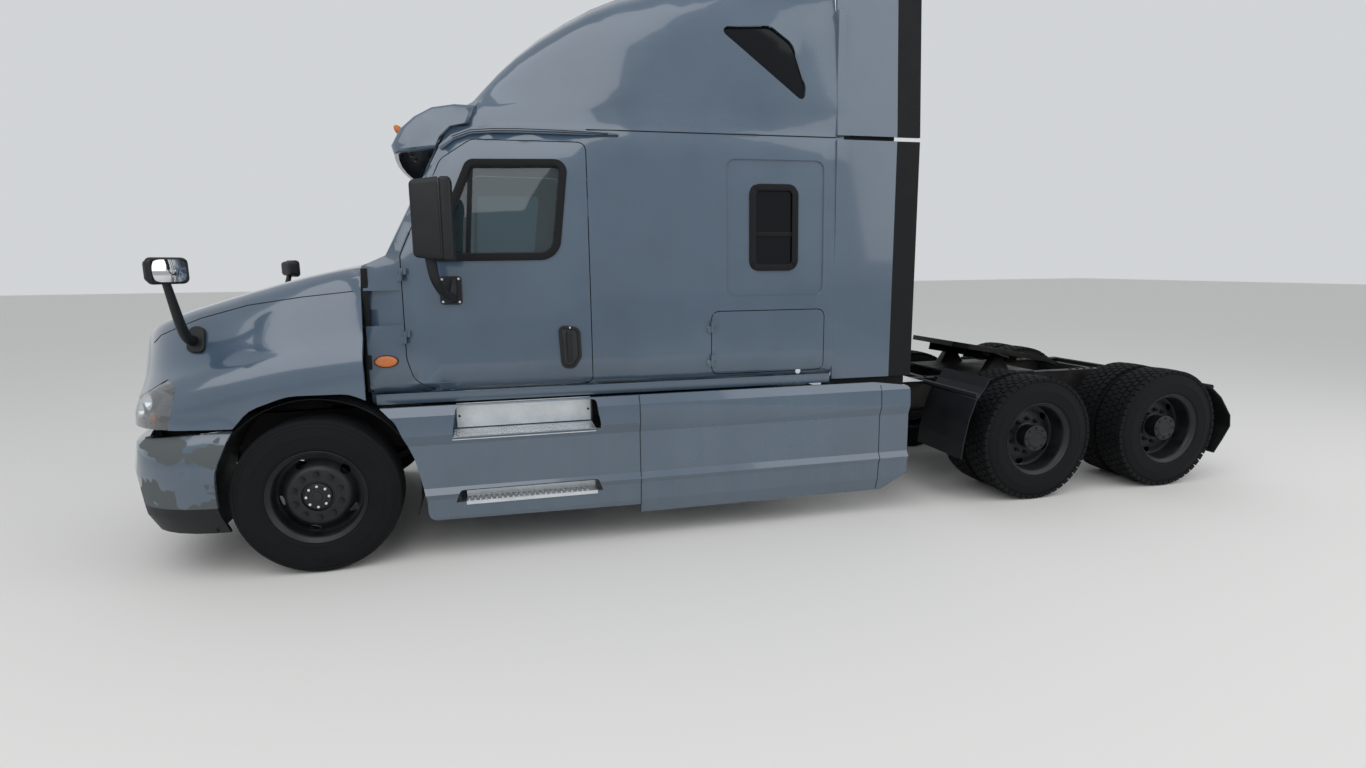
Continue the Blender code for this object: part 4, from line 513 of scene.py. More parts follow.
def ring_on(name, line, names, out, inside, thick, facing=(0, 1, 0), lift=0.001):
    """A flat frame round an outline: out and inside are how far it reaches from the line."""
    spots = [skin(x, z, names, lift) for x, z in grown(line, out)]
    far = [(q.x, p[1], q.y) for p, q in zip(spots, grown(line, -inside))]
    return ribbon(name, spots, far, thick, facing, closed=True)


print("searching", len(nodes), "nodes")

# %% [markdown]
# The CAD skins keep their shapes and take their finish from the record. Each is a copy whose
# loose corners are merged. A skin that is painted above a line and rubber or plastic beyond it
# is cut along that line first.
#
# Painted panels and glass need more care, because a highlight shows every flat facet. Their outer
# faces are cut on a grid, which leaves the shape as it is. The directions of all the outer faces
# are then gathered in small cells of space and blurred together, and each corner of a panel takes
# the blurred direction at its place. Corners on folds and edges are left alone.

# %% Skins of the CAD nodes
FINISHES = {"paint": enamel, "black_plastic": plastic, "frame_steel": chassis, "rubber": rubber,
            "tyre": tyre_rubber, "glass": glass, "lamp": lamp_glass, "aluminium": aluminium, "cloth": cloth}
slots = {row["node"]: row["material_slot"] for row in frame["record"]["subparts"]}
bodies = {name: body for body, names in frame["record"]["behaviour"]["bodies"].items() for name in names}
REMADE = ("tyre_front_left", "tyre_front_right", "wheel_front_left", "wheel_front_right", "twin_wheel_1_left",
          "twin_wheel_1_right", "twin_wheel_2_left", "twin_wheel_2_right", "headlamp_left", "headlamp_right",
          "door_mirror_left", "door_mirror_right", "hood_mirror_left", "hood_mirror_right", "seat_left",
          "seat_right", "bunk")
FINISH_OF = {"fifth_wheel": grease, "fuel_tank_left": aluminium, "fuel_tank_right": aluminium,
             "cab_floor": enamel, "bumper": scuffed_enamel}
GRID = {"hood": 0.06, "sun_visor": 0.06, "bumper": 0.08}
GRID_ELSEWHERE = 0.12
CELL = 0.03                     # side of a cell of the blurred directions
BLUR = 0.050
OUTWARD = 0.35                  # how far a face looks away from the heart, at least
FOLD = math.radians(32)         # a corner turned further than this from the blur is a fold
RECESS_X, RECESS_Z = (-3.37, -2.70), (3.04, 3.60)  # the recess of the roof window
RECESS_LEAN = 0.85              # a side of the recess faces the side of the truck less than this
HOOD_HEART, BUMPER_HEART = (0.35, 1.05), 0.2
CAB_HEART_X, CAB_HEART_Z = (-1.5, -3.2), 1.9
SKIN_ANGLE, SKIRT_ANGLE = 28, 10


def heart(name, spot):
    """A place inside the truck that the outer surface near a spot faces away from."""
    if name in ("hood", "grille"):
        return Vector((DX + min(spot.x - DX, HOOD_HEART[0]), 0, HOOD_HEART[1]))
    if name == "bumper":
        return Vector((DX + BUMPER_HEART, 0, spot.z))
    if name.startswith(("skirt", "extender", "baggage")):
        return Vector((spot.x, 0, spot.z))
    return Vector((DX + max(min(spot.x - DX, CAB_HEART_X[0]), CAB_HEART_X[1]), 0, CAB_HEART_Z))


def outer(name, middle, normal):
    """Whether a face belongs to the outside of the truck; the sides of the roof window's recess do not."""
    if name == "roof_cap" and abs(normal.y) < RECESS_LEAN and RECESS_X[0] < middle.x - DX < RECESS_X[1] \
            and RECESS_Z[0] < middle.z < RECESS_Z[1]:
        return False
    return normal.dot((middle - heart(name, middle)).normalized()) > OUTWARD


def faired(name):
    """Whether a panel is painted or glass and curved all over; a skirt has folds that are meant to show."""
    return slots[name] in ("paint", "glass") and not name.startswith("skirt")


def gridded(work, name, pitch):
    """Cuts the outer faces of a skin along planes a pitch apart."""
    for axis in range(3):
        way = Vector((axis == 0, axis == 1, axis == 2))
        spread = [v.co[axis] for v in work.verts]
        for k in range(math.floor(min(spread) / pitch) + 1, math.ceil(max(spread) / pitch)):
            faces = [f for f in work.faces
                     if min(v.co[axis] for v in f.verts) < k * pitch < max(v.co[axis] for v in f.verts)
                     and (slots[name] == "glass" or outer(name, f.calc_center_median(), f.normal))]
            parts_ = set(faces) | {e for f in faces for e in f.edges} | {v for f in faces for v in f.verts}
            bmesh.ops.bisect_plane(work, geom=list(parts_), dist=0.00001, plane_co=way * (k * pitch),
                                   plane_no=way)


def smoothed(name):
    """A copy of a node with its corners merged and its gentle folds shaded smooth."""
    piece = linked(name + "_skin", nodes[name].data.copy())
    work = bmesh.new()
    work.from_mesh(piece.data)
    bmesh.ops.remove_doubles(work, verts=work.verts, dist=0.00002)
    if faired(name):
        bmesh.ops.dissolve_limit(work, angle_limit=0.0005, verts=work.verts, edges=work.edges)
        gridded(work, name, GRID.get(name, GRID_ELSEWHERE))
        bmesh.ops.triangulate(work, faces=work.faces)
    work.to_mesh(piece.data)
    work.free()
    piece.data.shade_smooth()
    angle = SKIRT_ANGLE if name.startswith("skirt") else SKIN_ANGLE
    piece.data.set_sharp_from_angle(angle=math.radians(angle))
    piece.data.materials.clear()
    piece.data.materials.append(FINISH_OF.get(name, FINISHES[slots[name]]))
    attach(piece, bodies[name])
    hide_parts(name)
    return piece


def parted(piece, spot, way, finish):
    """Cuts a skin by a plane and gives what lies on the plane's far side another finish."""
    spot, way = Vector(spot) + Vector((DX, 0, 0)), Vector(way)
    whole(piece, "FACE")
    bpy.ops.mesh.bisect(plane_co=spot, plane_no=way)
    leave()
    piece.data.materials.append(finish)
    for face in piece.data.polygons:
        if (face.center - spot).dot(way) > 0:
            face.material_index = len(piece.data.materials) - 1


skins = {name: smoothed(name) for name in nodes if name not in REMADE}
for label in SIDES:
    parted(skins["extender_" + label], (-4.040, 0, 0), (-1, 0, 0), rubber)
parted(skins["bumper"], (0, 0, 0.490), (0, 0, -1), plastic)
print("skins:", len(skins))

# %% Blurred directions
painted = [name for name in skins if faired(name)]
low_corner = np.array(cad_box[0]) - 6 * CELL
count = np.ceil((np.array(cad_box[1]) + 6 * CELL - low_corner) / CELL).astype(int) + 1
field = np.zeros((*count, 3))
dice = np.random.default_rng(7)
outside = {}
for name in painted:
    mesh = skins[name].data
    outside[name] = [outer(name, face.center, face.normal) for face in mesh.polygons]
    for face, shown in zip(mesh.polygons, outside[name]):
        if not shown:
            continue
        a, b, c = (np.array(mesh.vertices[i].co) for i in face.vertices[:3])
        throws = max(1, int(face.area / (CELL * CELL * 0.5)))
        u, v = dice.random((2, throws, 1))
        flip = u + v > 1
        u, v = np.where(flip, 1 - u, u), np.where(flip, 1 - v, v)
        at = ((a + (b - a) * u + (c - a) * v - low_corner) / CELL + 0.5).astype(int)
        np.add.at(field, tuple(at.T), np.array(face.normal) * face.area / throws)
steps = np.arange(-4, 5)
weights = np.exp(-0.5 * (steps * CELL / BLUR) ** 2)
for axis in range(3):
    field = sum(np.roll(field, k, axis=axis) * w for k, w in zip(steps, weights))


def blurred(spot):
    """The blurred direction at a place, between the middles of the cells."""
    at = (np.array(spot) - low_corner) / CELL
    base = np.floor(at).astype(int)
    rest = at - base
    shares = (1 - rest, rest)
    total = np.zeros(3)
    for i, j, k in np.ndindex(2, 2, 2):
        share = shares[i][0] * shares[j][1] * shares[k][2]
        total += field[base[0] + i, base[1] + j, base[2] + k] * share
    return Vector(total).normalized()


for name in painted:
    mesh = skins[name].data
    at_corner = [blurred(vertex.co) for vertex in mesh.vertices]
    ways = [Vector(corner.vector) for corner in mesh.corner_normals]
    for face in mesh.polygons:
        for k in face.loop_indices:
            way = at_corner[mesh.loops[k].vertex_index]
            if way.dot(face.normal) < 0:
                way = -way
            if way.length > 0.5 and way.angle(face.normal) < FOLD:
                ways[k] = way
    mesh.normals_split_custom_set(ways)
print("faces of painted skins:", sum(len(skins[name].data.polygons) for name in painted))

# %% [markdown]
# A truck tyre is a loaf of rubber round a steel rim. Its section is drawn once as a line of
# radii and spun round the axle. The steering tyres have four plain grooves round their tread.

# %% Steering tyres
def mm(*rows):
    """Rows of millimetres as rows of metres."""
    return [tuple(length / 1000 for length in row) for row in rows]


FACE = 1.215                    # outer faces of the tyres
TYRE_WIDE = 0.285
WALL = mm((287, 34), (290, 22), (300, 14), (306, 13), (309, 10), (320, 7.5), (324, 4.5), (328, 4.5),
          (331, 6), (362, 2), (392, 2), (394, 0.5), (399, 0.5), (401, 2.5), (430, 7), (452, 12.5),
          (453.5, 11), (458, 12.5), (460, 15), (476, 21.5), (478, 19.5), (490, 25.5), (499, 32),
          (503.5, 42))
GROOVES = (0.078, 0.121, 0.164, 0.207)
GROOVE_WIDE, GROOVE_DEEP, TYRE_R = 0.0095, 0.013, 0.510
CROWN = 0.0035                  # how much lower the tread is at its edge
tread = []
for middle in GROOVES:
    crown = TYRE_R - CROWN * abs(middle - TYRE_WIDE / 2) / (TYRE_WIDE / 2)
    half = GROOVE_WIDE / 2
    tread += [(crown, middle - half - 0.001), (crown - 0.002, middle - half),
              (crown - GROOVE_DEEP, middle - half * 0.7),
              (crown - GROOVE_DEEP, middle + half * 0.7), (crown - 0.002, middle + half),
              (crown, middle + half + 0.001)]
wall_in = [(r, TYRE_WIDE - u) for r, u in reversed(WALL)]
section = WALL + tread + wall_in
tyre = lathe("steer_tyre_left", [(r, FACE - u) for r, u in section], FRONT, 96)
both(tyre, tyre_rubber, "wheel_front_", ["tyre_front_"], 32)
print("steering tyre:", len(section), "points in its section")

# %% [markdown]
# The drive tyres carry blocks. A narrower carcass is spun, then one block is bevelled from a
# cube and set round it in five rows, each row half a pitch on from its neighbour.

# %% Drive tyres
ROWS = (0.037, 0.0895, 0.1425, 0.1955, 0.248)
BLOCKS = 50
BLOCK = (0.053, 0.044, 0.030)
BLOCK_SOFT, BLOCK_BEND, BLOCK_SINK, SHOULDER_DROP = 0.0025, 0.007, 0.001, 0.0015
FLOOR_R = 0.4975
carcass = WALL[:-3] + [(0.4900, 0.0300), (FLOOR_R, 0.0400), (FLOOR_R, TYRE_WIDE - 0.0400)] + \
    [(r, TYRE_WIDE - u) for r, u in reversed(WALL[:-3])]
body = lathe("carcass", [(r, -u) for r, u in carcass], (0, 0, 0), 80)
block = fresh("cube", "block", size=1, scale=BLOCK)
pick(block, "FACE", lambda middle, part: abs(part.normal.x) > 0.9)
bpy.ops.mesh.subdivide(number_cuts=1)
pick(block, "VERT", lambda middle, part: abs(middle.y) < 0.01)
bpy.ops.transform.translate(value=(BLOCK_BEND, 0, 0))
settle(soften(block, BLOCK_SOFT, 1, 40))
places = []
for row, across_u in enumerate(ROWS):
    drop = CROWN * abs(across_u - TYRE_WIDE / 2) / (TYRE_WIDE / 2) + (SHOULDER_DROP if row in (0, 4) else 0)
    for k in range(BLOCKS):
        turn = Matrix.Rotation(math.tau * (k + 0.5 * (row % 2)) / BLOCKS, 4, "Y")
        flip = Matrix.Rotation(math.pi if row > 2 else 0, 4, "Z")
        spot = Matrix.Translation((0, -across_u, TYRE_R - BLOCK_SINK - drop - BLOCK[2] / 2))
        places.append(turn @ spot @ flip)
blocks = repeated("blocks", block, places)
tyre_master = joined([body, blocks])
TANDEM_X, HALF_SPREAD = -6.063, 0.66
DRIVE = (TANDEM_X + HALF_SPREAD, TANDEM_X - HALF_SPREAD)
PAIR = TYRE_WIDE + 0.045        # from one tyre of a pair to the other
STAGGER = 0.04                  # how far the tread of each axle is turned from the last, in radians
for number, axle_x in enumerate(DRIVE, 1):
    for nth, shift in (("outer", 0), ("inner", -PAIR)):
        tyre = linked("drive_tyre_%d_%s_left" % (number, nth), tyre_master.data.copy())
        turn = Matrix.Rotation(STAGGER * number, 4, "Y")
        tyre.data.transform(Matrix.Translation((axle_x, FACE + shift, TYRE_R)) @ turn)
        both(tyre, tyre_rubber, "twins_%d_" % number, [], 32)
bpy.data.objects.remove(tyre_master)
print("tread blocks on a tyre:", len(places))

# %% [markdown]
# The wheels are pressed steel under black enamel: a rolled rim and a disc with five hand holes.
# On the steering axle the disc bulges outwards. On the drive axles the same wheel sits the other
# way round, so the outer one is a deep dish with the axle's hub standing in it.

# %% Wheels
RIM = mm((264, 60), (270, 36), (280, 27), (288, 22), (296, 12), (299, 9.5), (301.5, 11), (300.5, 15.5),
         (296, 23), (286.2, 29), (285, 50), (280, 100), (280, 170), (285, 240), (286.2, 256), (296, 262),
         (300.5, 269.5), (298, 274), (288, 264), (279, 250), (274, 190))
BULGED = mm((266, 130), (240, 128), (215, 108), (192, 76), (172, 60), (100, 58), (100, 46), (168, 45),
            (182, 50), (203, 72), (225, 99), (243, 112), (260, 112))
DISHED = mm((266, 186), (240, 188), (215, 184), (190, 176), (105, 174), (105, 162), (188, 162), (215, 170),
            (240, 174), (256, 168), (262, 150))


def holed_wheel(name, disc, hole_r, hole_size, hole_u):
    """A rim with its disc and five hand holes, with its outer face at y 0."""
    wheel = lathe(name, [(r, -u) for r, u in RIM + disc], (0, 0, 0), 80)
    for k in range(5):
        turn = Matrix.Rotation(math.tau * (k + 0.35) / 5, 4, "Y")
        hole = peg("hand_hole", 1, 0.09, 20)
        size = Matrix.Diagonal((*hole_size, 1))
        hole.data.transform(turn @ Matrix.Translation((0, -hole_u, hole_r)) @ size)
        cut(wheel, hole)
    return wheel


def nuts(name, count, ring_r, u, size, stud):
    """A ring of hexagon nuts, each with its washer and stud."""
    nut = soften(peg("nut", size, size * 1.1, 6), size * 0.12)
    washer = peg("washer", size * 1.25, size * 0.3, 16, (0, -size * 0.6, 0))
    pin = soften(peg("pin", size * 0.5, stud, 10, (0, stud / 2, 0)), size * 0.1, 1)
    spots = [Matrix.Rotation(math.tau * k / count, 4, "Y") @ Matrix.Translation((0, -u, ring_r))
             for k in range(count)]
    return repeated(name, joined([nut, washer, pin]), spots)


HOLE_RING, STUDS, STUD_RING, NUT = 0.223, 10, 0.143, 0.0165
AT_FRONT = (0, FACE, TYRE_R)
wheel = moved(holed_wheel("steer_wheel_left", BULGED, HOLE_RING, (0.034, 1, 0.024), 0.100), AT_FRONT)
both(wheel, wheel_steel, "wheel_front_", ["wheel_front_"], 40)
HUB = mm((0, 14), (26, 14), (30, 17), (32, 25), (52, 27), (56, 32), (78, 34), (84, 40), (86, 56), (99, 58),
         (99, 90), (70, 200), (0, 200))
both(lathe("steer_hub_left", [(r, FACE - u) for r, u in HUB], FRONT, 48, False), wheel_steel,
     "wheel_front_")
both(moved(nuts("steer_nuts_left", STUDS, STUD_RING, 0.036, NUT, 0.022), AT_FRONT), chassis,
     "wheel_front_")
both(moved(nuts("hub_bolts_left", 8, 0.067, 0.030, 0.009, 0.006), AT_FRONT), aluminium,
     "wheel_front_")
DRUM = mm((208, 135), (212, 140), (212, 250), (218, 252), (218, 262), (195, 262), (195, 150), (100, 148),
          (100, 135))
both(lathe("steer_drum_left", [(r, FACE - u) for r, u in DRUM], FRONT, 48), chassis,
     "wheel_front_")
dish_master = holed_wheel("dish", DISHED, HOLE_RING, (0.036, 1, 0.026), 0.175)
AXLE_HUB = mm((0, 38), (50, 38), (54, 35), (70, 35), (74, 40), (104, 42), (108, 46), (108, 60), (96, 64),
              (96, 156), (110, 160), (110, 164), (0, 164))
hub_master = lathe("axle_hub", [(r, -u) for r, u in AXLE_HUB], (0, 0, 0), 48, False)
for number, axle_x in enumerate(DRIVE, 1):
    at, twins = (axle_x, FACE, TYRE_R), "twins_%d_" % number
    for nth in ("outer", "inner"):
        wheel = linked("drive_wheel_%d_%s_left" % (number, nth), dish_master.data.copy())
        if nth == "inner":
            wheel.data.transform(Matrix.Translation((0, -TYRE_WIDE - PAIR, 0)) @ MIRRORED)
            wheel.data.flip_normals()
        stands = ["twin_wheel_%d_" % number] if nth == "outer" else []
        both(moved(wheel, at), wheel_steel, twins, stands, 40)
    hub = linked("axle_hub_%d_left" % number, hub_master.data.copy())
    both(moved(hub, at), wheel_steel, twins)
    both(moved(nuts("drive_nuts_%d_left" % number, STUDS, STUD_RING, 0.152, NUT, 0.030), at), chassis,
         twins)
    both(moved(nuts("axle_nuts_%d_left" % number, 8, 0.087, 0.040, 0.010, 0.008), at), chassis,
         twins)
    drum = [(r, FACE - PAIR - u) for r, u in DRUM]
    both(lathe("drive_drum_%d_left" % number, drum, (axle_x, 0, TYRE_R), 48), chassis, twins)
for master in (dish_master, hub_master):
    bpy.data.objects.remove(master)
print("wheels made")

# %% [markdown]
# A headlamp is a clear moulded lens over a dark housing with bright bowls in it. The lens is the
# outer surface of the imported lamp, given a wall. The housing is the same surface pushed in, and
# its rim is drawn back out to the lens.

# %% Headlamps
chrome = grained("vacuum_plated_chrome", "d8dadc", "f2f3f4", (0.04, 0.1), 20, 0.02, 1.0)
bezel = grained("lamp_bezel_black", "141618", "1e2022", (0.25, 0.35), 8, 0.05)
amber, tree, shader = material("amber_polycarbonate", Roughness=0.08, IOR=1.58, Transmission_Weight=0.35)
ribs = add(tree, "TexWave", {"wave_type": "BANDS", "bands_direction": "Z"}, Vector=place(tree), Scale=60.0)
feed(tree, shader, Base_Color=ramp(tree, ribs.outputs[1], (0.2, "c4560c"), (0.8, "ef8a1c")),
     Normal=bumped(tree, ribs.outputs[1], 0.4, 0.002))
LENS_LOOK, LENS_OUT = Vector((0.55, 0.75, 0.3)).normalized(), Vector((0.5, 0.8, 0.25)).normalized()


def lamp_front(name):
    """The outer skin of the left lamp."""
    source = nodes["headlamp_left"]
    piece = linked(name, source.data.copy())
    whole(piece, "VERT")
    bpy.ops.mesh.remove_doubles(threshold=0.00002)
    middle_of = sum((Vector(c) for c in source.bound_box), Vector()) / 8
    pick(piece, "FACE", lambda middle, part: not (part.normal.dot(middle - middle_of) > 0
                                                  and part.normal.dot(LENS_LOOK) > OUTWARD
                                                  and part.calc_area() > 0.000001 and on_hood(middle)))
    bpy.ops.mesh.delete(type="FACE")
    leave()
    return moved(piece, (-DX, 0, 0))


def on_hood(spot):
    """Whether a point of the lamp lies in the hood's outer surface rather than inside it."""
    return tree_of("headlamp_left").ray_cast(spot + LENS_OUT * 0.002, LENS_OUT)[0] is None


lens = lamp_front("headlamp_lens_left")
shape(lens, "SOLIDIFY", thickness=0.003, offset=-1.0)
both(lens, lamp_glass, "hood", ["headlamp_"], 30)
print("lens faces:", len(lens.data.polygons))

# %% [markdown]
# Inside the lens the housing is a dark bowl that keeps its rim at the lens. Two plated bowls and
# an amber turn lamp stand in it, each turned to look the way the lens faces there.

# %% Inside the headlamps
LAMP_DEEP = 0.055
LOOK = Vector((0.72, 0.68, 0.05)).normalized()
housing = lamp_front("headlamp_housing_left")
shape(housing, "SOLIDIFY", thickness=LAMP_DEEP, offset=-1.0)
surface = tree_of("headlamp_left")
pick(housing, "FACE", lambda middle, part: surface.find_nearest(middle + Vector((DX, 0, 0)))[3] < 0.004
     and part.normal.dot(LOOK) > 0.2)
bpy.ops.mesh.delete(type="FACE")
whole(housing, "FACE")
bpy.ops.mesh.flip_normals()
both(housing, bezel, "hood", [], 30)


def facing(piece, spot, way):
    """Turns a piece from looking along y to looking along a way, and puts it at a spot."""
    piece.data.transform(Matrix.Translation(spot) @ Vector(way).to_track_quat("Y", "Z").to_matrix().to_4x4())
    return piece


def bowl(name, x, z, radius, finish):
    """A plated bowl with its bulb, set behind the lens."""
    spot = Vector(skin(x, z, ["headlamp_left"])) - LOOK * (LAMP_DEEP * 0.45)
    dish = [(radius * 0.16, -0.034), (radius * 0.45, -0.028), (radius * 0.72, -0.016), (radius * 0.93, 0.0),
            (radius * 1.04, 0.0015), (radius * 1.04, -0.004), (radius * 0.72, -0.022),
            (radius * 0.16, -0.040)]
    both(facing(lathe(name, dish, (0, 0, 0), 40), spot, LOOK), finish, "hood")


bowl("low_beam_left", 0.975, 1.140, 0.052, chrome)
bowl("high_beam_left", 1.050, 1.075, 0.045, chrome)
turn_lamp = fresh("uv_sphere", "turn_lamp_left", segments=24, ring_count=12, radius=1)
turn_lamp.data.transform(Matrix.Diagonal((0.034, 0.016, 0.034, 1)))
spot = Vector(skin(0.925, 1.045, ["headlamp_left"])) - LOOK * (LAMP_DEEP * 0.5)
both(facing(turn_lamp, spot, LOOK), amber, "hood")
print("headlamps filled")

# %% [markdown]
# Trim is laid on the paint: plates filled from an outline, and round or oval lamps. A truck wears
# bolt heads wherever a bracket meets a panel, so one bolt is made and set at many places.

# %% Helpers for trim
def oval(x, z, half_x, half_z, steps=32):
    """Points of an upright oval."""
    return [Vector((x + half_x * math.cos(math.tau * k / steps), z + half_z * math.sin(math.tau * k / steps)))
            for k in range(steps)]


def plate(name, line, names, thick, lift=0.0005, soft=0.0015, segments=2):
    """A plate laid on the left-hand paint, filled from its outline."""
    spots = [skin(p[0], p[1], names, lift) for p in line]
    piece = outline_piece(name, [p for p in spots if p])
    whole(piece, "EDGE")
    bpy.ops.mesh.edge_face_add()
    leave()
    if piece.data.polygons[0].normal.y < 0:
        piece.data.flip_normals()
    shape(piece, "SOLIDIFY", thickness=thick, offset=1.0)
    if soft:
        soften(piece, soft, segments, 50)
    return piece


def struck(spot, way, *names):
    """Where a ray from an axle place first meets the named nodes, with the normal there."""
    hits = [tree_of(name).ray_cast(Vector(spot) + Vector((DX, 0, 0)), Vector(way)) for name in names]
    hits = [hit for hit in hits if hit[0]]
    hit = min(hits, key=lambda found: found[3])
    return hit[0] - Vector((DX, 0, 0)), hit[1]


def bolts(name, places, size, names):
    """Hexagon heads standing on the left-hand surface at (x, z) places."""
    head = soften(peg("head", size, size * 0.9, 6), size * 0.15)
    spots = [Vector(skin(x, z, names, size * 0.35)) for x, z in places]
    return repeated(name, head, [Matrix.Translation(spot) for spot in spots])


def tapered(name, points, radii, steps=4):
    """A bent arm along a line of points, with a radius at each."""
    curve = bpy.data.curves.new(name, "CURVE")
    curve.dimensions = "3D"
    curve.bevel_depth = 1.0
    curve.bevel_resolution = steps
    curve.use_fill_caps = True
    line = curve.splines.new("NURBS")
    line.points.add(len(points) - 1)
    for point, spot, radius in zip(line.points, points, radii):
        point.co = (*spot, 1)
        point.radius = radius
    line.order_u = 3
    line.resolution_u = 6
    line.use_endpoint_u = True
    only(linked(name, curve))
    bpy.ops.object.convert(target="MESH")
    return bpy.context.object


def rounded_box(name, size, centre, radius, segments=4):
    """A box with all its edges rounded."""
    piece = fresh("cube", name, size=1)
    piece.data.transform(Matrix.Diagonal((*size, 1)))
    return moved(shape(piece, "BEVEL", width=radius, segments=segments), centre)


print("trim helpers ready")

# %% [markdown]
# The round-cornered head looks back and outwards. Its glass is cut from a large sphere, so that
# it bulges the way a convex mirror does.

# %% Hood mirrors
HEAD = (0.636, 1.330, 1.938)
HEAD_SIZE = (0.096, 0.240, 0.150)
HEAD_TURN = math.radians(-34)
GLASS_R, GLASS_SUNK = 0.34, 0.004
turn = Matrix.Translation(HEAD) @ Matrix.Rotation(HEAD_TURN, 4, "Z")
shell = rounded_box("hood_mirror_shell_left", HEAD_SIZE, (0, 0, 0), 0.034, 6)
pick(shell, "VERT", lambda middle, part: middle.x > 0.0)
bpy.ops.transform.resize(value=(1, 0.86, 0.86))
hollow = rounded_box("hollow", (0.030, HEAD_SIZE[1] - 0.020, HEAD_SIZE[2] - 0.020),
                     (-HEAD_SIZE[0] / 2, 0, 0), 0.014, 4)
cut(shell, moved(hollow, (-GLASS_SUNK, 0, 0)))
shell.data.transform(turn)
both(shell, plastic, "hood", ["hood_mirror_"], 40)
cap = rounded_box("hood_mirror_glass_left", (0.060, HEAD_SIZE[1] - 0.026, HEAD_SIZE[2] - 0.026),
                  (-HEAD_SIZE[0] / 2, 0, 0), 0.026, 6)
ball = fresh("uv_sphere", "ball", segments=96, ring_count=64, radius=GLASS_R,
             location=(GLASS_R - HEAD_SIZE[0] / 2 - GLASS_SUNK, 0, 0))
cut(cap, settle(ball), "INTERSECT")
cap.data.transform(turn)
both(cap, chrome, "hood", [], 30)
ARM = ((0.655, 0.900, 1.500), (0.672, 0.985, 1.505), (0.682, 1.060, 1.560), (0.655, 1.240, 1.780),
       (0.646, 1.318, 1.890))
arm = tapered("hood_mirror_arm_left", ARM, (0.034, 0.033, 0.030, 0.024, 0.021))
both(arm, plastic, "hood")
FOOT = ((0.590, 1.432, 0.035), (0.705, 1.432, 0.035), (0.700, 1.585, 0.045), (0.600, 1.590, 0.045))
foot = plate("hood_mirror_foot_left", rounded(FOOT, 6), ["hood"], 0.022, soft=0.008, segments=4)
both(foot, plastic, "hood")
print("hood mirrors made")

# %% [markdown]
# A narrow joint runs along the top of the hood, a rubber strip closes the gap behind it, and an
# amber marker sits on the cowl.

# %% Hood trim
SEAM = ((0.980, 1.480), (0.913, 1.532), (0.640, 1.640), (0.352, 1.718), (0.020, 1.766), (-0.318, 1.801))
SEAM_STEPS = 12
seam_line = []
for (x, z), (x2, z2) in zip(SEAM, SEAM[1:]):
    for k in range(SEAM_STEPS):
        spot = skin(x + (x2 - x) * k / SEAM_STEPS, z + (z2 - z) * k / SEAM_STEPS, ["hood"], -0.0004)
        if spot:
            seam_line.append(spot)
both(rod("hood_seam_left", seam_line, 0.0030), rubber, "hood")
STRIP = ((-0.352, 1.940), (-0.350, 1.860), (-0.346, 1.600), (-0.342, 1.350), (-0.340, 1.150))
near, far = [], []
for x, z in STRIP:
    spot = skin(x - 0.020, z, ["cab_front"], 0.0)
    near.append((x + 0.008, spot[1] + 0.001, z))
    far.append((x - 0.030, spot[1] + 0.001, z))
both(ribbon("cowl_strip_left", near, far, 0.006, (0, 1, 0)), rubber)
marker = plate("side_marker_left", oval(-0.457, 1.347, 0.069, 0.036), ["cab_front"], 0.018, soft=0.009,
               segments=4)
both(marker, amber)
both(plate("marker_bezel_left", oval(-0.457, 1.347, 0.074, 0.041), ["cab_front"], 0.004), plastic)
both(bolts("marker_screws_left", ((-0.398, 1.347), (-0.516, 1.347)), 0.006, ["cab_front"]), aluminium)
print("hood trim made")

# %% [markdown]
# Behind each steering tyre a plastic liner closes the view into the frame.

# %% Wheel housings
LINER_R, LINER_Y, LINER_ARC = 0.622, (0.640, 1.150), range(-18, 200, 6)
arc = [(LINER_R * math.cos(math.radians(a)), TYRE_R + LINER_R * math.sin(math.radians(a))) for a in LINER_ARC]
liner = ribbon("wheel_liner_left", [(x, LINER_Y[1], z) for x, z in arc],
               [(x, LINER_Y[0], z) for x, z in arc], 0.004, (0, 0, 1))
both(liner, plastic)
print("liners made")

# %% [markdown]
# The door carries most of what the eye reads at this distance: the black surround of its window
# with a bar that parts off the quarter glass, the pull handle in its pocket and the mirror.

# %% Door window and handle
# The sleeper and roof window panes are opaque and near black: partly a dark tint and partly painted shade of
# the room behind them.
tint_and_shade = material("smoked_glass", Base_Color=linear("090c10"), Roughness=0.10, Specular_IOR_Level=0.2)[0]
for name in ("sleeper_window_left", "sleeper_window_right", "roof_window_left", "roof_window_right"):
    skins[name].data.materials[0] = tint_and_shade
WINDOW = ((-0.745, 1.990, 0.05), (-1.025, 2.618, 0.06), (-1.652, 2.628, 0.07), (-1.575, 1.995, 0.13))
window_line = rounded(WINDOW, 8)
surround = ring_on("window_surround_left", window_line, ["door_left"], 0.010, 0.034, 0.010)
both(surround, rubber, "door_")
inner_bead = ring_on("window_bead_left", grown(window_line, -0.030), ["door_left", "door_glass_left"],
                     0.003, 0.012, 0.012, lift=0.0)
both(inner_bead, plastic, "door_")
BAR = ((-1.041, 2.575), (-0.998, 2.006))
BAR_HALF = 0.015
near = [skin(x + BAR_HALF, z, ["door_glass_left"], 0.001) for x, z in BAR]
far = [skin(x - BAR_HALF, z, ["door_glass_left"], 0.001) for x, z in BAR]
both(ribbon("vent_bar_left", near, far, 0.012, (0, 1, 0)), rubber, "door_")
POCKET = rounded([(-1.560, 1.548, 0.035), (-1.700, 1.528, 0.045), (-1.706, 1.330, 0.060),
                  (-1.655, 1.255, 0.045), (-1.575, 1.262, 0.045)], 6)
frame_ring = ring_on("handle_bezel_left", POCKET, ["door_left"], 0.004, 0.016, 0.012)
both(frame_ring, plastic, "door_")
both(plate("handle_pocket_left", grown(POCKET, -0.010), ["door_left"], 0.003), bezel,
     "door_")
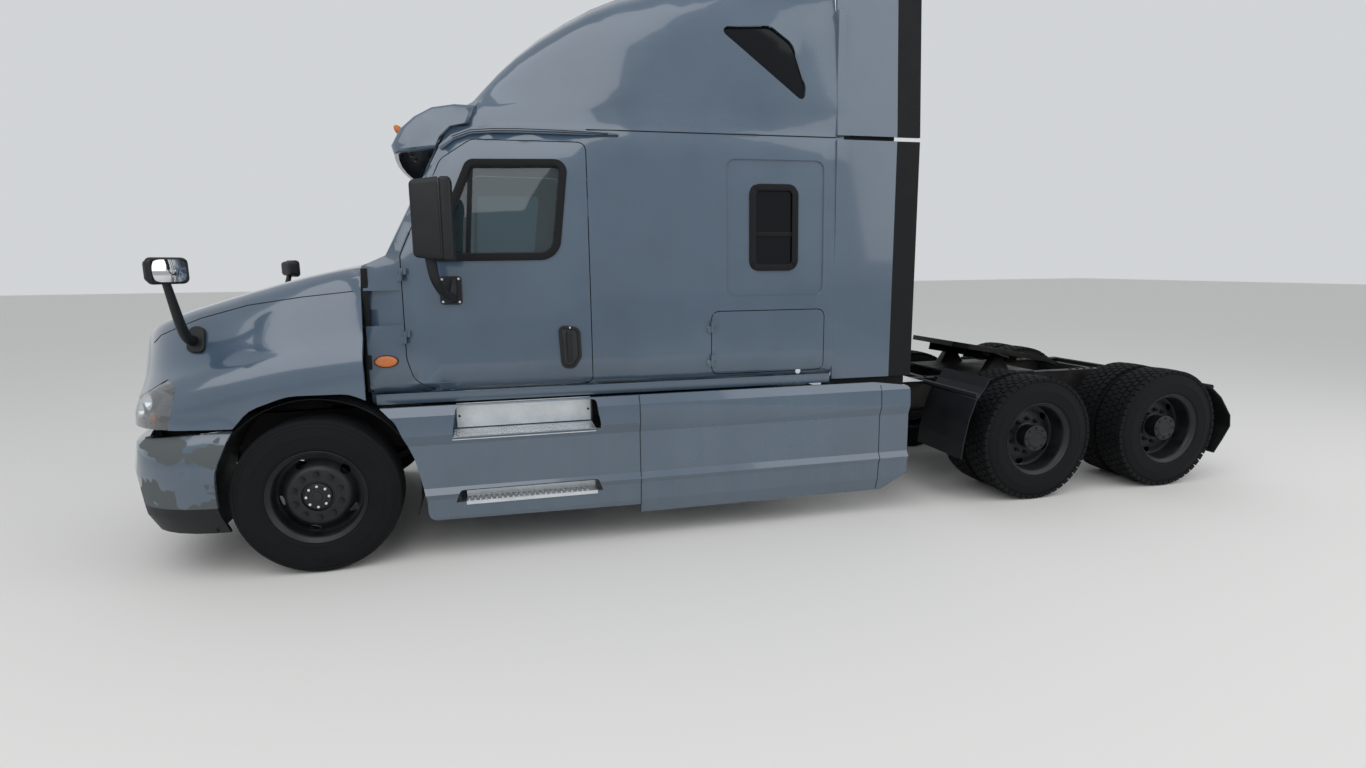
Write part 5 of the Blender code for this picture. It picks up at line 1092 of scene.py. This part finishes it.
grip = rounded_box("handle_grip_left", (0.036, 0.016, 0.215), (-1.628, 0, 1.405), 0.007)
both(moved(grip, (0, skin(-1.628, 1.405, ["door_left"])[1] + 0.019, 0)), plastic, "door_")
posts = joined([rounded_box("post", (0.030, 0.018, 0.020),
                            (-1.628, skin(-1.628, z, ["door_left"])[1] + 0.009, z), 0.003)
                for z in (1.312, 1.498)])
posts.name = "handle_posts_left"
both(posts, plastic, "door_")
lock = peg("door_lock_left", 0.007, 0.010, 24, skin(-1.636, 1.532, ["door_left"], 0.008))
both(lock, aluminium, "door_")
print("door dressed")

# %% [markdown]
# A tall shell with rounded edges, a bezel behind a narrow gap, and two panes of glass in it.

# %% Door mirrors
SHELL_X = (-0.862, -0.704)
BEZEL_X = (-0.938, -0.868)
MIRROR_Y = (1.372, 1.552)
MIRROR_Z = (1.982, 2.464)
PAD_T = 0.016
MIDDLE_Y, MIDDLE_Z = sum(MIRROR_Y) / 2, sum(MIRROR_Z) / 2
TALL, WIDE = MIRROR_Z[1] - MIRROR_Z[0], MIRROR_Y[1] - MIRROR_Y[0]


def mirror_box(name, ends, shrink, radius):
    """A rounded box between two x ends, a little inside the mirror's outline."""
    return rounded_box(name, (ends[1] - ends[0], WIDE - shrink * 2, TALL - shrink * 2),
                       (sum(ends) / 2, MIDDLE_Y, MIDDLE_Z), radius, 5)


shell = mirror_box("door_mirror_shell_left", (SHELL_X[0] - 0.04, SHELL_X[1]), 0, 0.036)
pick(shell, "VERT", lambda middle, part: middle.x > SHELL_X[1] - 0.040)
bpy.ops.transform.resize(value=(1, 0.80, 0.93))
whole(shell, "FACE")
bpy.ops.mesh.bisect(plane_co=(SHELL_X[0], 0, 0), plane_no=(-1, 0, 0), clear_outer=True, use_fill=True)
leave()
both(shell, plastic, "door_", ["door_mirror_"], 40)
core = mirror_box("door_mirror_core_left", (BEZEL_X[0] + 0.02, SHELL_X[0] + 0.03), 0.010, 0.024)
both(core, bezel, "door_")
rim = mirror_box("door_mirror_rim_left", BEZEL_X, 0, 0.022)
pick(rim, "FACE", lambda middle, part: part.normal.x < -0.99)
bpy.ops.mesh.inset(thickness=0.010)
bpy.ops.mesh.extrude_region_move(TRANSFORM_OT_translate={"value": (0.012, 0, 0)})
leave()
both(rim, plastic, "door_", [], 40)
SPLIT_Z = MIRROR_Z[0] + TALL * 0.27
for name, low, high in (("upper", SPLIT_Z + 0.008, MIRROR_Z[1] - 0.022),
                        ("lower", MIRROR_Z[0] + 0.022, SPLIT_Z - 0.008)):
    pane = rounded_box("door_mirror_%s_glass_left" % name, (0.004, WIDE - 0.046, high - low),
                       (BEZEL_X[0] + 0.008, MIDDLE_Y, (low + high) / 2), 0.0018, 2)
    both(pane, chrome, "door_")
SWEEP = ((-0.795, 1.452, 2.010), (-0.800, 1.450, 1.930), (-0.815, 1.420, 1.855), (-0.850, 1.300, 1.775),
         (-0.885, 1.180, 1.752), (-0.893, 1.115, 1.752))
both(tapered("door_mirror_arm_left", SWEEP, (0.034, 0.031, 0.028, 0.026, 0.027, 0.030)), plastic,
     "door_")
PAD = ((-0.812, 1.704, 0.022), (-0.812, 1.884, 0.022), (-0.950, 1.886, 0.022), (-0.950, 1.702, 0.022))
pad = plate("door_mirror_pad_left", rounded(PAD, 5), ["door_left"], PAD_T, soft=0.005, segments=3)
both(pad, plastic, "door_")
BOOT = ((-0.905, 1.105, 1.860), (-0.900, 1.150, 1.800), (-0.893, 1.150, 1.750), (-0.893, 1.110, 1.730))
boot = tapered("door_mirror_boot_left", BOOT, (0.016, 0.022, 0.026, 0.020))
both(boot, plastic, "door_")
corner_bolts = [(-0.830, 1.722), (-0.830, 1.866), (-0.932, 1.868), (-0.932, 1.720)]
both(moved(bolts("mirror_bolts_left", corner_bolts, 0.008, ["door_left"]), (0, PAD_T, 0)), aluminium,
     "door_")
print("door mirrors made")

# %% [markdown]
# The rail over the door is a painted moulding that narrows to its end, with two ribs along it.

# %% Drip rail, sleeper window and lamps
RAIL = ((-0.862, 2.690, 0.030), (-0.941, 2.757, 0.036), (-1.053, 2.800, 0.038), (-1.200, 2.812, 0.038),
        (-1.364, 2.815, 0.038), (-1.600, 2.812, 0.036), (-1.817, 2.806, 0.030), (-1.930, 2.802, 0.018),
        (-2.004, 2.799, 0.008))
rows = []
for i, (x, z, wide) in enumerate(RAIL):
    before, after = Vector(RAIL[max(i - 1, 0)][:2]), Vector(RAIL[min(i + 1, len(RAIL) - 1)][:2])
    along = (after - before).normalized()
    up = Vector((along.y, -along.x)) * (1 if along.x < 0 else -1)
    if up.y < 0:
        up = -up
    rows.append((Vector((x, z)), up, wide))
NODES_AT_RAIL = ["cab_side_left", "cab_front", "roof_cap"]
near, far = [], []
for spot, up, wide in rows:
    at = skin(spot.x, spot.y, NODES_AT_RAIL, 0.0)
    if not at:
        continue
    top, low = spot + up * wide / 2, spot - up * wide / 2
    near.append((top.x, at[1] - 0.004, top.y))
    far.append((low.x, at[1] - 0.002, low.y))
both(ribbon("drip_rail_left", near, far, 0.020, (0, 1, 0), soft=0.006), enamel)
for nth, share in enumerate((0.32, 0.66)):
    line = [Vector(a).lerp(Vector(b), share) + Vector((0, 0.0185, 0)) for a, b in zip(near, far)][1:-1]
    both(rod("drip_rib_%d_left" % nth, line, 0.0032), rubber)
SLEEPER = rounded([(-2.925, 1.902, 0.07), (-2.925, 2.495, 0.07), (-3.278, 2.495, 0.07),
                   (-3.278, 1.902, 0.07)], 8)
both(ring_on("sleeper_frame_left", SLEEPER, ["cab_side_left", "sleeper_window_left"], 0.006, 0.040, 0.012),
     rubber)
near = [skin(x, 2.170, ["sleeper_window_left"], 0.001) for x in (-2.955, -3.10, -3.248)]
far = [skin(x, 2.138, ["sleeper_window_left"], 0.001) for x in (-2.955, -3.10, -3.248)]
both(ribbon("sleeper_divider_left", near, far, 0.010, (0, 1, 0)), rubber)
disc_at = skin(-3.302, 1.161, ["cab_side_left", "baggage_door_left"], 0.003)
both(peg("baggage_lock_left", 0.020, 0.008, 28, disc_at), aluminium)
for k, y in enumerate((0.950, 0.240, 0.0)):
    spot, way = struck((0.5, y, 2.800), (-1, 0, 0), "sun_visor")
    bullet = fresh("uv_sphere", "visor_lamp_%d_left" % k, segments=24, ring_count=14, radius=1)
    bullet.data.transform(Matrix.Diagonal((0.044, 0.030, 0.024, 1)))
    bullet.data.transform(Matrix.Translation(spot) @ way.to_track_quat("X", "Z").to_matrix().to_4x4())
    if y:
        both(bullet, amber)
    else:
        bullet.name = "visor_lamp_middle"
        done(bullet, amber)
print("cab trim made")

# %% [markdown]
# Two steps are let into the front skirt. Each tread is bright sheet with a turned-down edge and
# rows of raised, punched buttons for grip, and behind the upper one a bright kick plate is
# screwed to the box.

# %% Steps
BUTTON = ((0.0068, 0.0000), (0.0080, 0.0024), (0.0098, 0.0028), (0.0125, 0.0000))


def button_grid(name, ends, rows, top, pitch):
    """Raised rings with dark discs in them as painted shade of their holes, in rows along a tread."""
    ring = lathe(name, [(r, u) for r, u in BUTTON], (0, 0, 0), 12, True)
    ring.data.transform(Matrix.Rotation(math.pi / 2, 4, "X"))
    # each hole is a thin dark disc laid on the tread: painted shade of the hole
    hole = fresh("cylinder", name.replace("buttons", "holes"), vertices=10, radius=0.0070, depth=0.0008)
    count = int((ends[0] - ends[1]) / pitch)
    places = [Matrix.Translation((ends[0] - pitch * (k + 0.5 + 0.5 * (nth % 2)), y, top))
              for nth, y in enumerate(rows) for k in range(count - 1)]
    both(repeated(name, ring, places), aluminium)
    both(repeated(name.replace("buttons", "holes"), hole, places), bezel)


def sheet_box(name, x, y, z):
    """Thin bright sheet between two corners."""
    return rounded_box(name, (abs(x[1] - x[0]), abs(y[1] - y[0]), abs(z[1] - z[0])),
                       (sum(x) / 2, sum(y) / 2, sum(z) / 2), 0.0008, 1)


def tread_sheet(name, ends, y, top, kerb):
    """A tread with a turned-down front edge and, where kerb is set, a raised back edge."""
    parts_ = [sheet_box(name, ends, y, (top, top + 0.003)),
              sheet_box("lip", ends, (y[1] - 0.003, y[1]), (top - 0.022, top + 0.003))]
    if kerb:
        parts_.append(sheet_box("kerb", ends, (y[0], y[0] + 0.003), (top, top + kerb)))
    both(joined(parts_), aluminium)


UPPER, LOWER = 0.8465, 0.4015
UPPER_X, LOWER_X = (-0.838, -1.782), (-0.905, -1.782)
upper_edge = skin(-1.3, 0.820, ["skirt_front_left"])[1] + 0.004
lower_edge = skin(-1.3, 0.380, ["skirt_front_left"])[1] + 0.004
tread_sheet("upper_tread_left", UPPER_X, (0.975, upper_edge), UPPER, 0)
tread_sheet("lower_tread_left", LOWER_X, (lower_edge - 0.125, lower_edge), LOWER, 0.040)
button_grid("upper_buttons_left", UPPER_X, [upper_edge - 0.022 - 0.040 * k for k in range(5)],
            UPPER + 0.003, 0.036)
button_grid("lower_buttons_left", LOWER_X, [lower_edge - 0.022 - 0.036 * k for k in range(3)],
            LOWER + 0.003, 0.036)
KICK_X, KICK_Z = (-0.862, -1.778), (0.856, 1.026)
both(sheet_box("kick_plate_left", KICK_X, (0.9635, 0.9665), KICK_Z), aluminium)
screw = soften(peg("screw", 0.008, 0.008, 12), 0.002)
places = [Matrix.Translation((x, 0.968, z)) for x in (KICK_X[0] - 0.018, KICK_X[1] + 0.018)
          for z in (KICK_Z[0] + 0.08, KICK_Z[1] - 0.016)]
both(repeated("kick_screws_left", screw, places), chassis)
print("steps made")

# %% [markdown]
# A painted sill closes the cab's lower edge, and dark joints part the skirts.

# %% Sills and skirt joints
SILL_X = (-0.380, -0.500, -0.700, -1.190, -1.780, -2.400, -3.000, -3.555)
SILL_Z = (1.064, 1.133)
near, far = [], []
for x in SILL_X:
    edge = skin(x, 1.200, ["cab_side_left", "cab_front", "door_left", "baggage_door_left", "cab_back"])
    near.append((x, edge[1] - 0.004, SILL_Z[1]))
    far.append((x, edge[1] - 0.010, SILL_Z[0]))
both(ribbon("sill_left", near, far, 0.003, (0, 1, 0)), enamel)
JOINTS = ((-2.090, 0.205, 1.052), (-3.950, 0.215, 1.052))
for k, (x, low_z, high_z) in enumerate(JOINTS):
    line = [skin(x, low_z + (high_z - low_z) * step / 40, ["skirt_rear_left", "skirt_front_left"],
                 0.0) for step in range(41)]
    both(rod("skirt_joint_%d_left" % k, [spot for spot in line if spot], 0.0028), rubber)
print("sills made")

# %% [markdown]
# Behind the seam between the two extender panels, and behind the one over the skirt, lies a
# black strip of painted shade. From the side it makes both seams dark.

# %% Painted shade behind the seams
# black sheets of painted shade, set behind the two seams
STRIPS = (("extender_joiner_left", -3.575, -4.035, 2.790, 2.870),
          ("skirt_closeout_left", -3.500, -4.190, 1.010, 1.110))
STRIP_Y, STRIP_T = 1.112, 0.006
for name, x0, x1, foot, top in STRIPS:
    near = [(x0, STRIP_Y, foot), (x1, STRIP_Y, foot)]
    far = [(x, y, top) for x, y, _ in near]
    both(ribbon(name, near, far, STRIP_T, (0, -1, 0), soft=0), rubber)
print("strips:", len(STRIPS))

# %% [markdown]
# The roof cap meets the cab's sides on one level, in a dark joint that runs back from the drip rail.

# %% Roof seam
SEAM_FROM, SEAM_TO, SEAM_Z = -1.790, -3.566, 2.830
line = []
for step in range(37):
    x, y, _ = skin(SEAM_FROM + (SEAM_TO - SEAM_FROM) * step / 36, SEAM_Z + 0.010,
                   ["roof_cap", "cab_side_left"])
    line.append((x, y, SEAM_Z))
both(rod("roof_seam_left", line, 0.0035), rubber)
print("roof seam:", len(line), "points")

# %% [markdown]
# The cab is trimmed in woven cloth. A cushion starts as a rounded box a little smaller than the
# room it has, is remeshed to small even faces, and is blown up as cloth until its cover is tight.
# How far a point may move is capped. The seams come last, as a welt cord laid round the cover.

# %% Seats and bunk
SIM_FRAMES = 16
PRESSURE, CLOTH_MASS, CLOTH_STIFF = 4.0, 0.3, 25


def padded(name, boxes, crown, voxel=0.014):
    """A stuffed form blown up from rounded boxes; crown is the most that a point may move."""
    piece = joined([rounded_box("%s_%d" % (name, k), *box, 4) for k, box in enumerate(boxes)])
    piece.name = name
    shape(piece, "REMESH", mode="VOXEL", voxel_size=voxel)
    before = np.array([v.co for v in piece.data.vertices])
    made = piece.modifiers.new("stuffing", "CLOTH")
    for key, value in (("quality", 5), ("mass", CLOTH_MASS), ("use_pressure", True),
                       ("uniform_pressure_force", PRESSURE), ("tension_stiffness", CLOTH_STIFF),
                       ("compression_stiffness", CLOTH_STIFF)):
        setattr(made.settings, key, value)
    made.settings.effector_weights.gravity = 0
    for step in range(1, SIM_FRAMES + 1):
        bpy.context.scene.frame_set(step)
    only(piece)
    bpy.ops.object.modifier_apply(modifier=made.name)
    bpy.context.scene.frame_set(1)
    after = np.array([v.co for v in piece.data.vertices])
    shift = after - before
    length = np.linalg.norm(shift, axis=1, keepdims=True)
    after = before + shift * np.minimum(1, crown / np.maximum(length, 1e-9))
    piece.data.vertices.foreach_set("co", after.ravel())
    shape(piece, "SUBSURF", levels=1, render_levels=1)
    return piece


def welt(name, piece, z, lift=0.001):
    """A cord sewn round a cushion at a height."""
    work = bmesh.new()
    work.from_mesh(piece.data)
    everything = work.verts[:] + work.edges[:] + work.faces[:]
    sliced = bmesh.ops.bisect_plane(work, geom=everything, plane_co=(0, 0, z), plane_no=(0, 0, 1))["geom_cut"]
    rim = [v.co.copy() for v in sliced if isinstance(v, bmesh.types.BMVert)]
    work.free()
    middle = sum(rim, Vector()) / len(rim)
    rim.sort(key=lambda p: math.atan2(p.y - middle.y, p.x - middle.x))
    return rod(name, [tuple(p + (p - middle).normalized() * lift) for p in rim[::3]], 0.004, closed=True,
               steps=2)


SEAT_MID = (-1.455, 0.550)
cushion = padded("seat_cushion_left",
                 [((0.400, 0.430, 0.085), (SEAT_MID[0] + 0.030, SEAT_MID[1], 1.625), 0.035)], 0.026)
welt_line = welt("seat_welt_left", cushion, 1.625)
back = padded("seat_back_left", [((0.085, 0.400, 0.560), (-1.725, SEAT_MID[1], 1.980), 0.035),
                                 ((0.065, 0.230, 0.130), (-1.728, SEAT_MID[1], 2.262), 0.028)], 0.024)
for piece, node in ((cushion, ["seat_"]), (back, [])):
    for made in both(piece, cloth, "chassis", node, 60):
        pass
both(welt_line, rubber)
both(rounded_box("seat_base_left", (0.340, 0.330, 0.400), (SEAT_MID[0], SEAT_MID[1], 1.340), 0.040),
     plastic)
mattress = padded("bunk_mattress", [((0.880, 1.960, 0.120), (-3.030, 0, 1.690), 0.045)], 0.026, 0.030)
done(mattress, cloth, "chassis", ["bunk"], 60)
done(rounded_box("bunk_board", (0.900, 2.000, 0.460), (-3.040, 0, 1.380), 0.020), plastic)
print("seats and bunk padded")

# %% [markdown]
# Behind the cab a tread plate lies over the rails, bolts hold the brackets to them, and the
# fifth wheel carries its jaws, its release handle and a film of grease.

# %% Behind the cab
BAR_PITCH, DECK_LONG, DECK_WIDE = 0.045, 0.94, 1.16
DECK_TOP = tree_of("frame_ladder").ray_cast(Vector((DX - 4.200, 0.300, 3)), Vector((0, 0, -1)))[0].z
bar = rounded_box("bar", (0.030, 0.007, 0.0022), (0, 0, 0), 0.001, 1)
places = []
for i in range(int(DECK_LONG / BAR_PITCH)):
    for j in range(int(DECK_WIDE / BAR_PITCH)):
        spot = Matrix.Translation((-3.730 - BAR_PITCH * i, -0.580 + BAR_PITCH * j, DECK_TOP + 0.0008))
        places.append(spot @ Matrix.Rotation(math.radians(45 if (i + j) % 2 else -45), 4, "Z"))
done(repeated("deck_pattern", bar, places), aluminium)
deck = rounded_box("deck_sheet", (0.985, 1.220, 0.0016), (-4.200, 0, DECK_TOP + 0.0006), 0.0005, 1)
done(deck, aluminium)
RAIL_TOP, RAIL_FACE = 0.930, 0.430
head = soften(fresh("cylinder", "head", vertices=6, radius=0.014, depth=0.012), 0.002, 1)
spots = [(-4.860 - 0.090 * k, RAIL_FACE - 0.045 + 0.03 * (k % 2), RAIL_TOP + 0.005) for k in range(3)]
spots += [(-6.420 - 0.080 * k, RAIL_FACE - 0.045, RAIL_TOP + 0.005) for k in range(5)]
both(repeated("rail_top_bolts_left", head, [Matrix.Translation(spot) for spot in spots]), chassis)
head = soften(peg("head", 0.015, 0.013, 6), 0.002, 1)
BOLTED_X = (-4.52, -4.60, -5.00, -5.08, -5.72, -5.80, -6.10, -6.18, -6.62, -6.70, -6.82)
spots = [(x, RAIL_FACE + 0.005, z) for x in BOLTED_X for z in (0.730, 0.800, 0.870)]
both(repeated("rail_side_bolts_left", head, [Matrix.Translation(spot) for spot in spots]), chassis)
print("frame dressed:", len(places), "bars on the deck")

# %% [markdown]
# The release handle comes out from under the plate on the left and bends down to a grip.

# %% Fifth wheel
HANDLE = ((-5.520, 0.440, 1.128), (-5.520, 0.500, 1.122), (-5.530, 0.560, 1.112), (-5.550, 0.600, 1.105))
done(rod("release_handle", HANDLE, 0.009, steps=4), chassis, "fifth_wheel")
print("fifth wheel dressed")

# %% [markdown]
# Two round red lamps and a clear one stand on each side of the tail bar.

# %% Tail lamps
red, tree, shader = material("red_polycarbonate", Base_Color=linear("9c1410"), Roughness=0.1, IOR=1.58,
                             Transmission_Weight=0.2)
facets = add(tree, "TexVoronoi", Vector=place(tree), Scale=220.0)
feed(tree, shader, Normal=bumped(tree, facets.outputs["Distance"], 0.3, 0.001))
TAIL_RIM = ((0.044, 0.0), (0.056, 0.0), (0.058, 0.008), (0.050, 0.014), (0.044, 0.012))
TAIL_DOME = ((0.0, 0.020), (0.018, 0.019), (0.034, 0.015), (0.046, 0.008), (0.046, 0.0), (0.0, 0.0))
for k, (y, finish) in enumerate(((0.300, red), (0.180, red), (0.060, lamp_glass))):
    spot, way = struck((-8.5, y, 0.800), (1, 0, 0), "frame_ladder", "tail_bar")
    rim = lathe("tail_rim_%d_left" % k, TAIL_RIM, (0, 0, 0), 40)
    both(facing(rim, spot, (-1, 0, 0)), rubber)
    dome = lathe("tail_lamp_%d_left" % k, TAIL_DOME, (0, 0, 0), 40, False)
    both(facing(dome, spot, (-1, 0, 0)), finish)
print("tail lamps made")

# %% [markdown]
# A pale floor, a pale sky round it and two large soft lamps make the studio.

# %% Studio
floor = fresh("plane", "floor", size=120)
floor.data.materials.append(material("studio_floor", Base_Color=linear("d9d8d5"), Roughness=0.8)[0])
world = bpy.data.worlds.new("studio")
bpy.context.scene.world = world
world.use_nodes = True
sky = world.node_tree.nodes["Background"].inputs
sky["Color"].default_value, sky["Strength"].default_value = linear("eef1f4"), 0.75
LAMPS_AIM = (0, 0, 1.5)
LAMPS = (("key", (5, 7, 9), 11, 600), ("fill", (-7, 6, 6), 9, 280))
for name, spot, size, power in LAMPS:
    lamp = bpy.data.lights.new(name, "AREA")
    lamp.size = size
    lamp.energy = power
    holder = linked(name, lamp)
    holder.location = spot
    holder.rotation_euler = (Vector(LAMPS_AIM) - Vector(spot)).to_track_quat("-Z", "Y").to_euler()
print("studio lit")
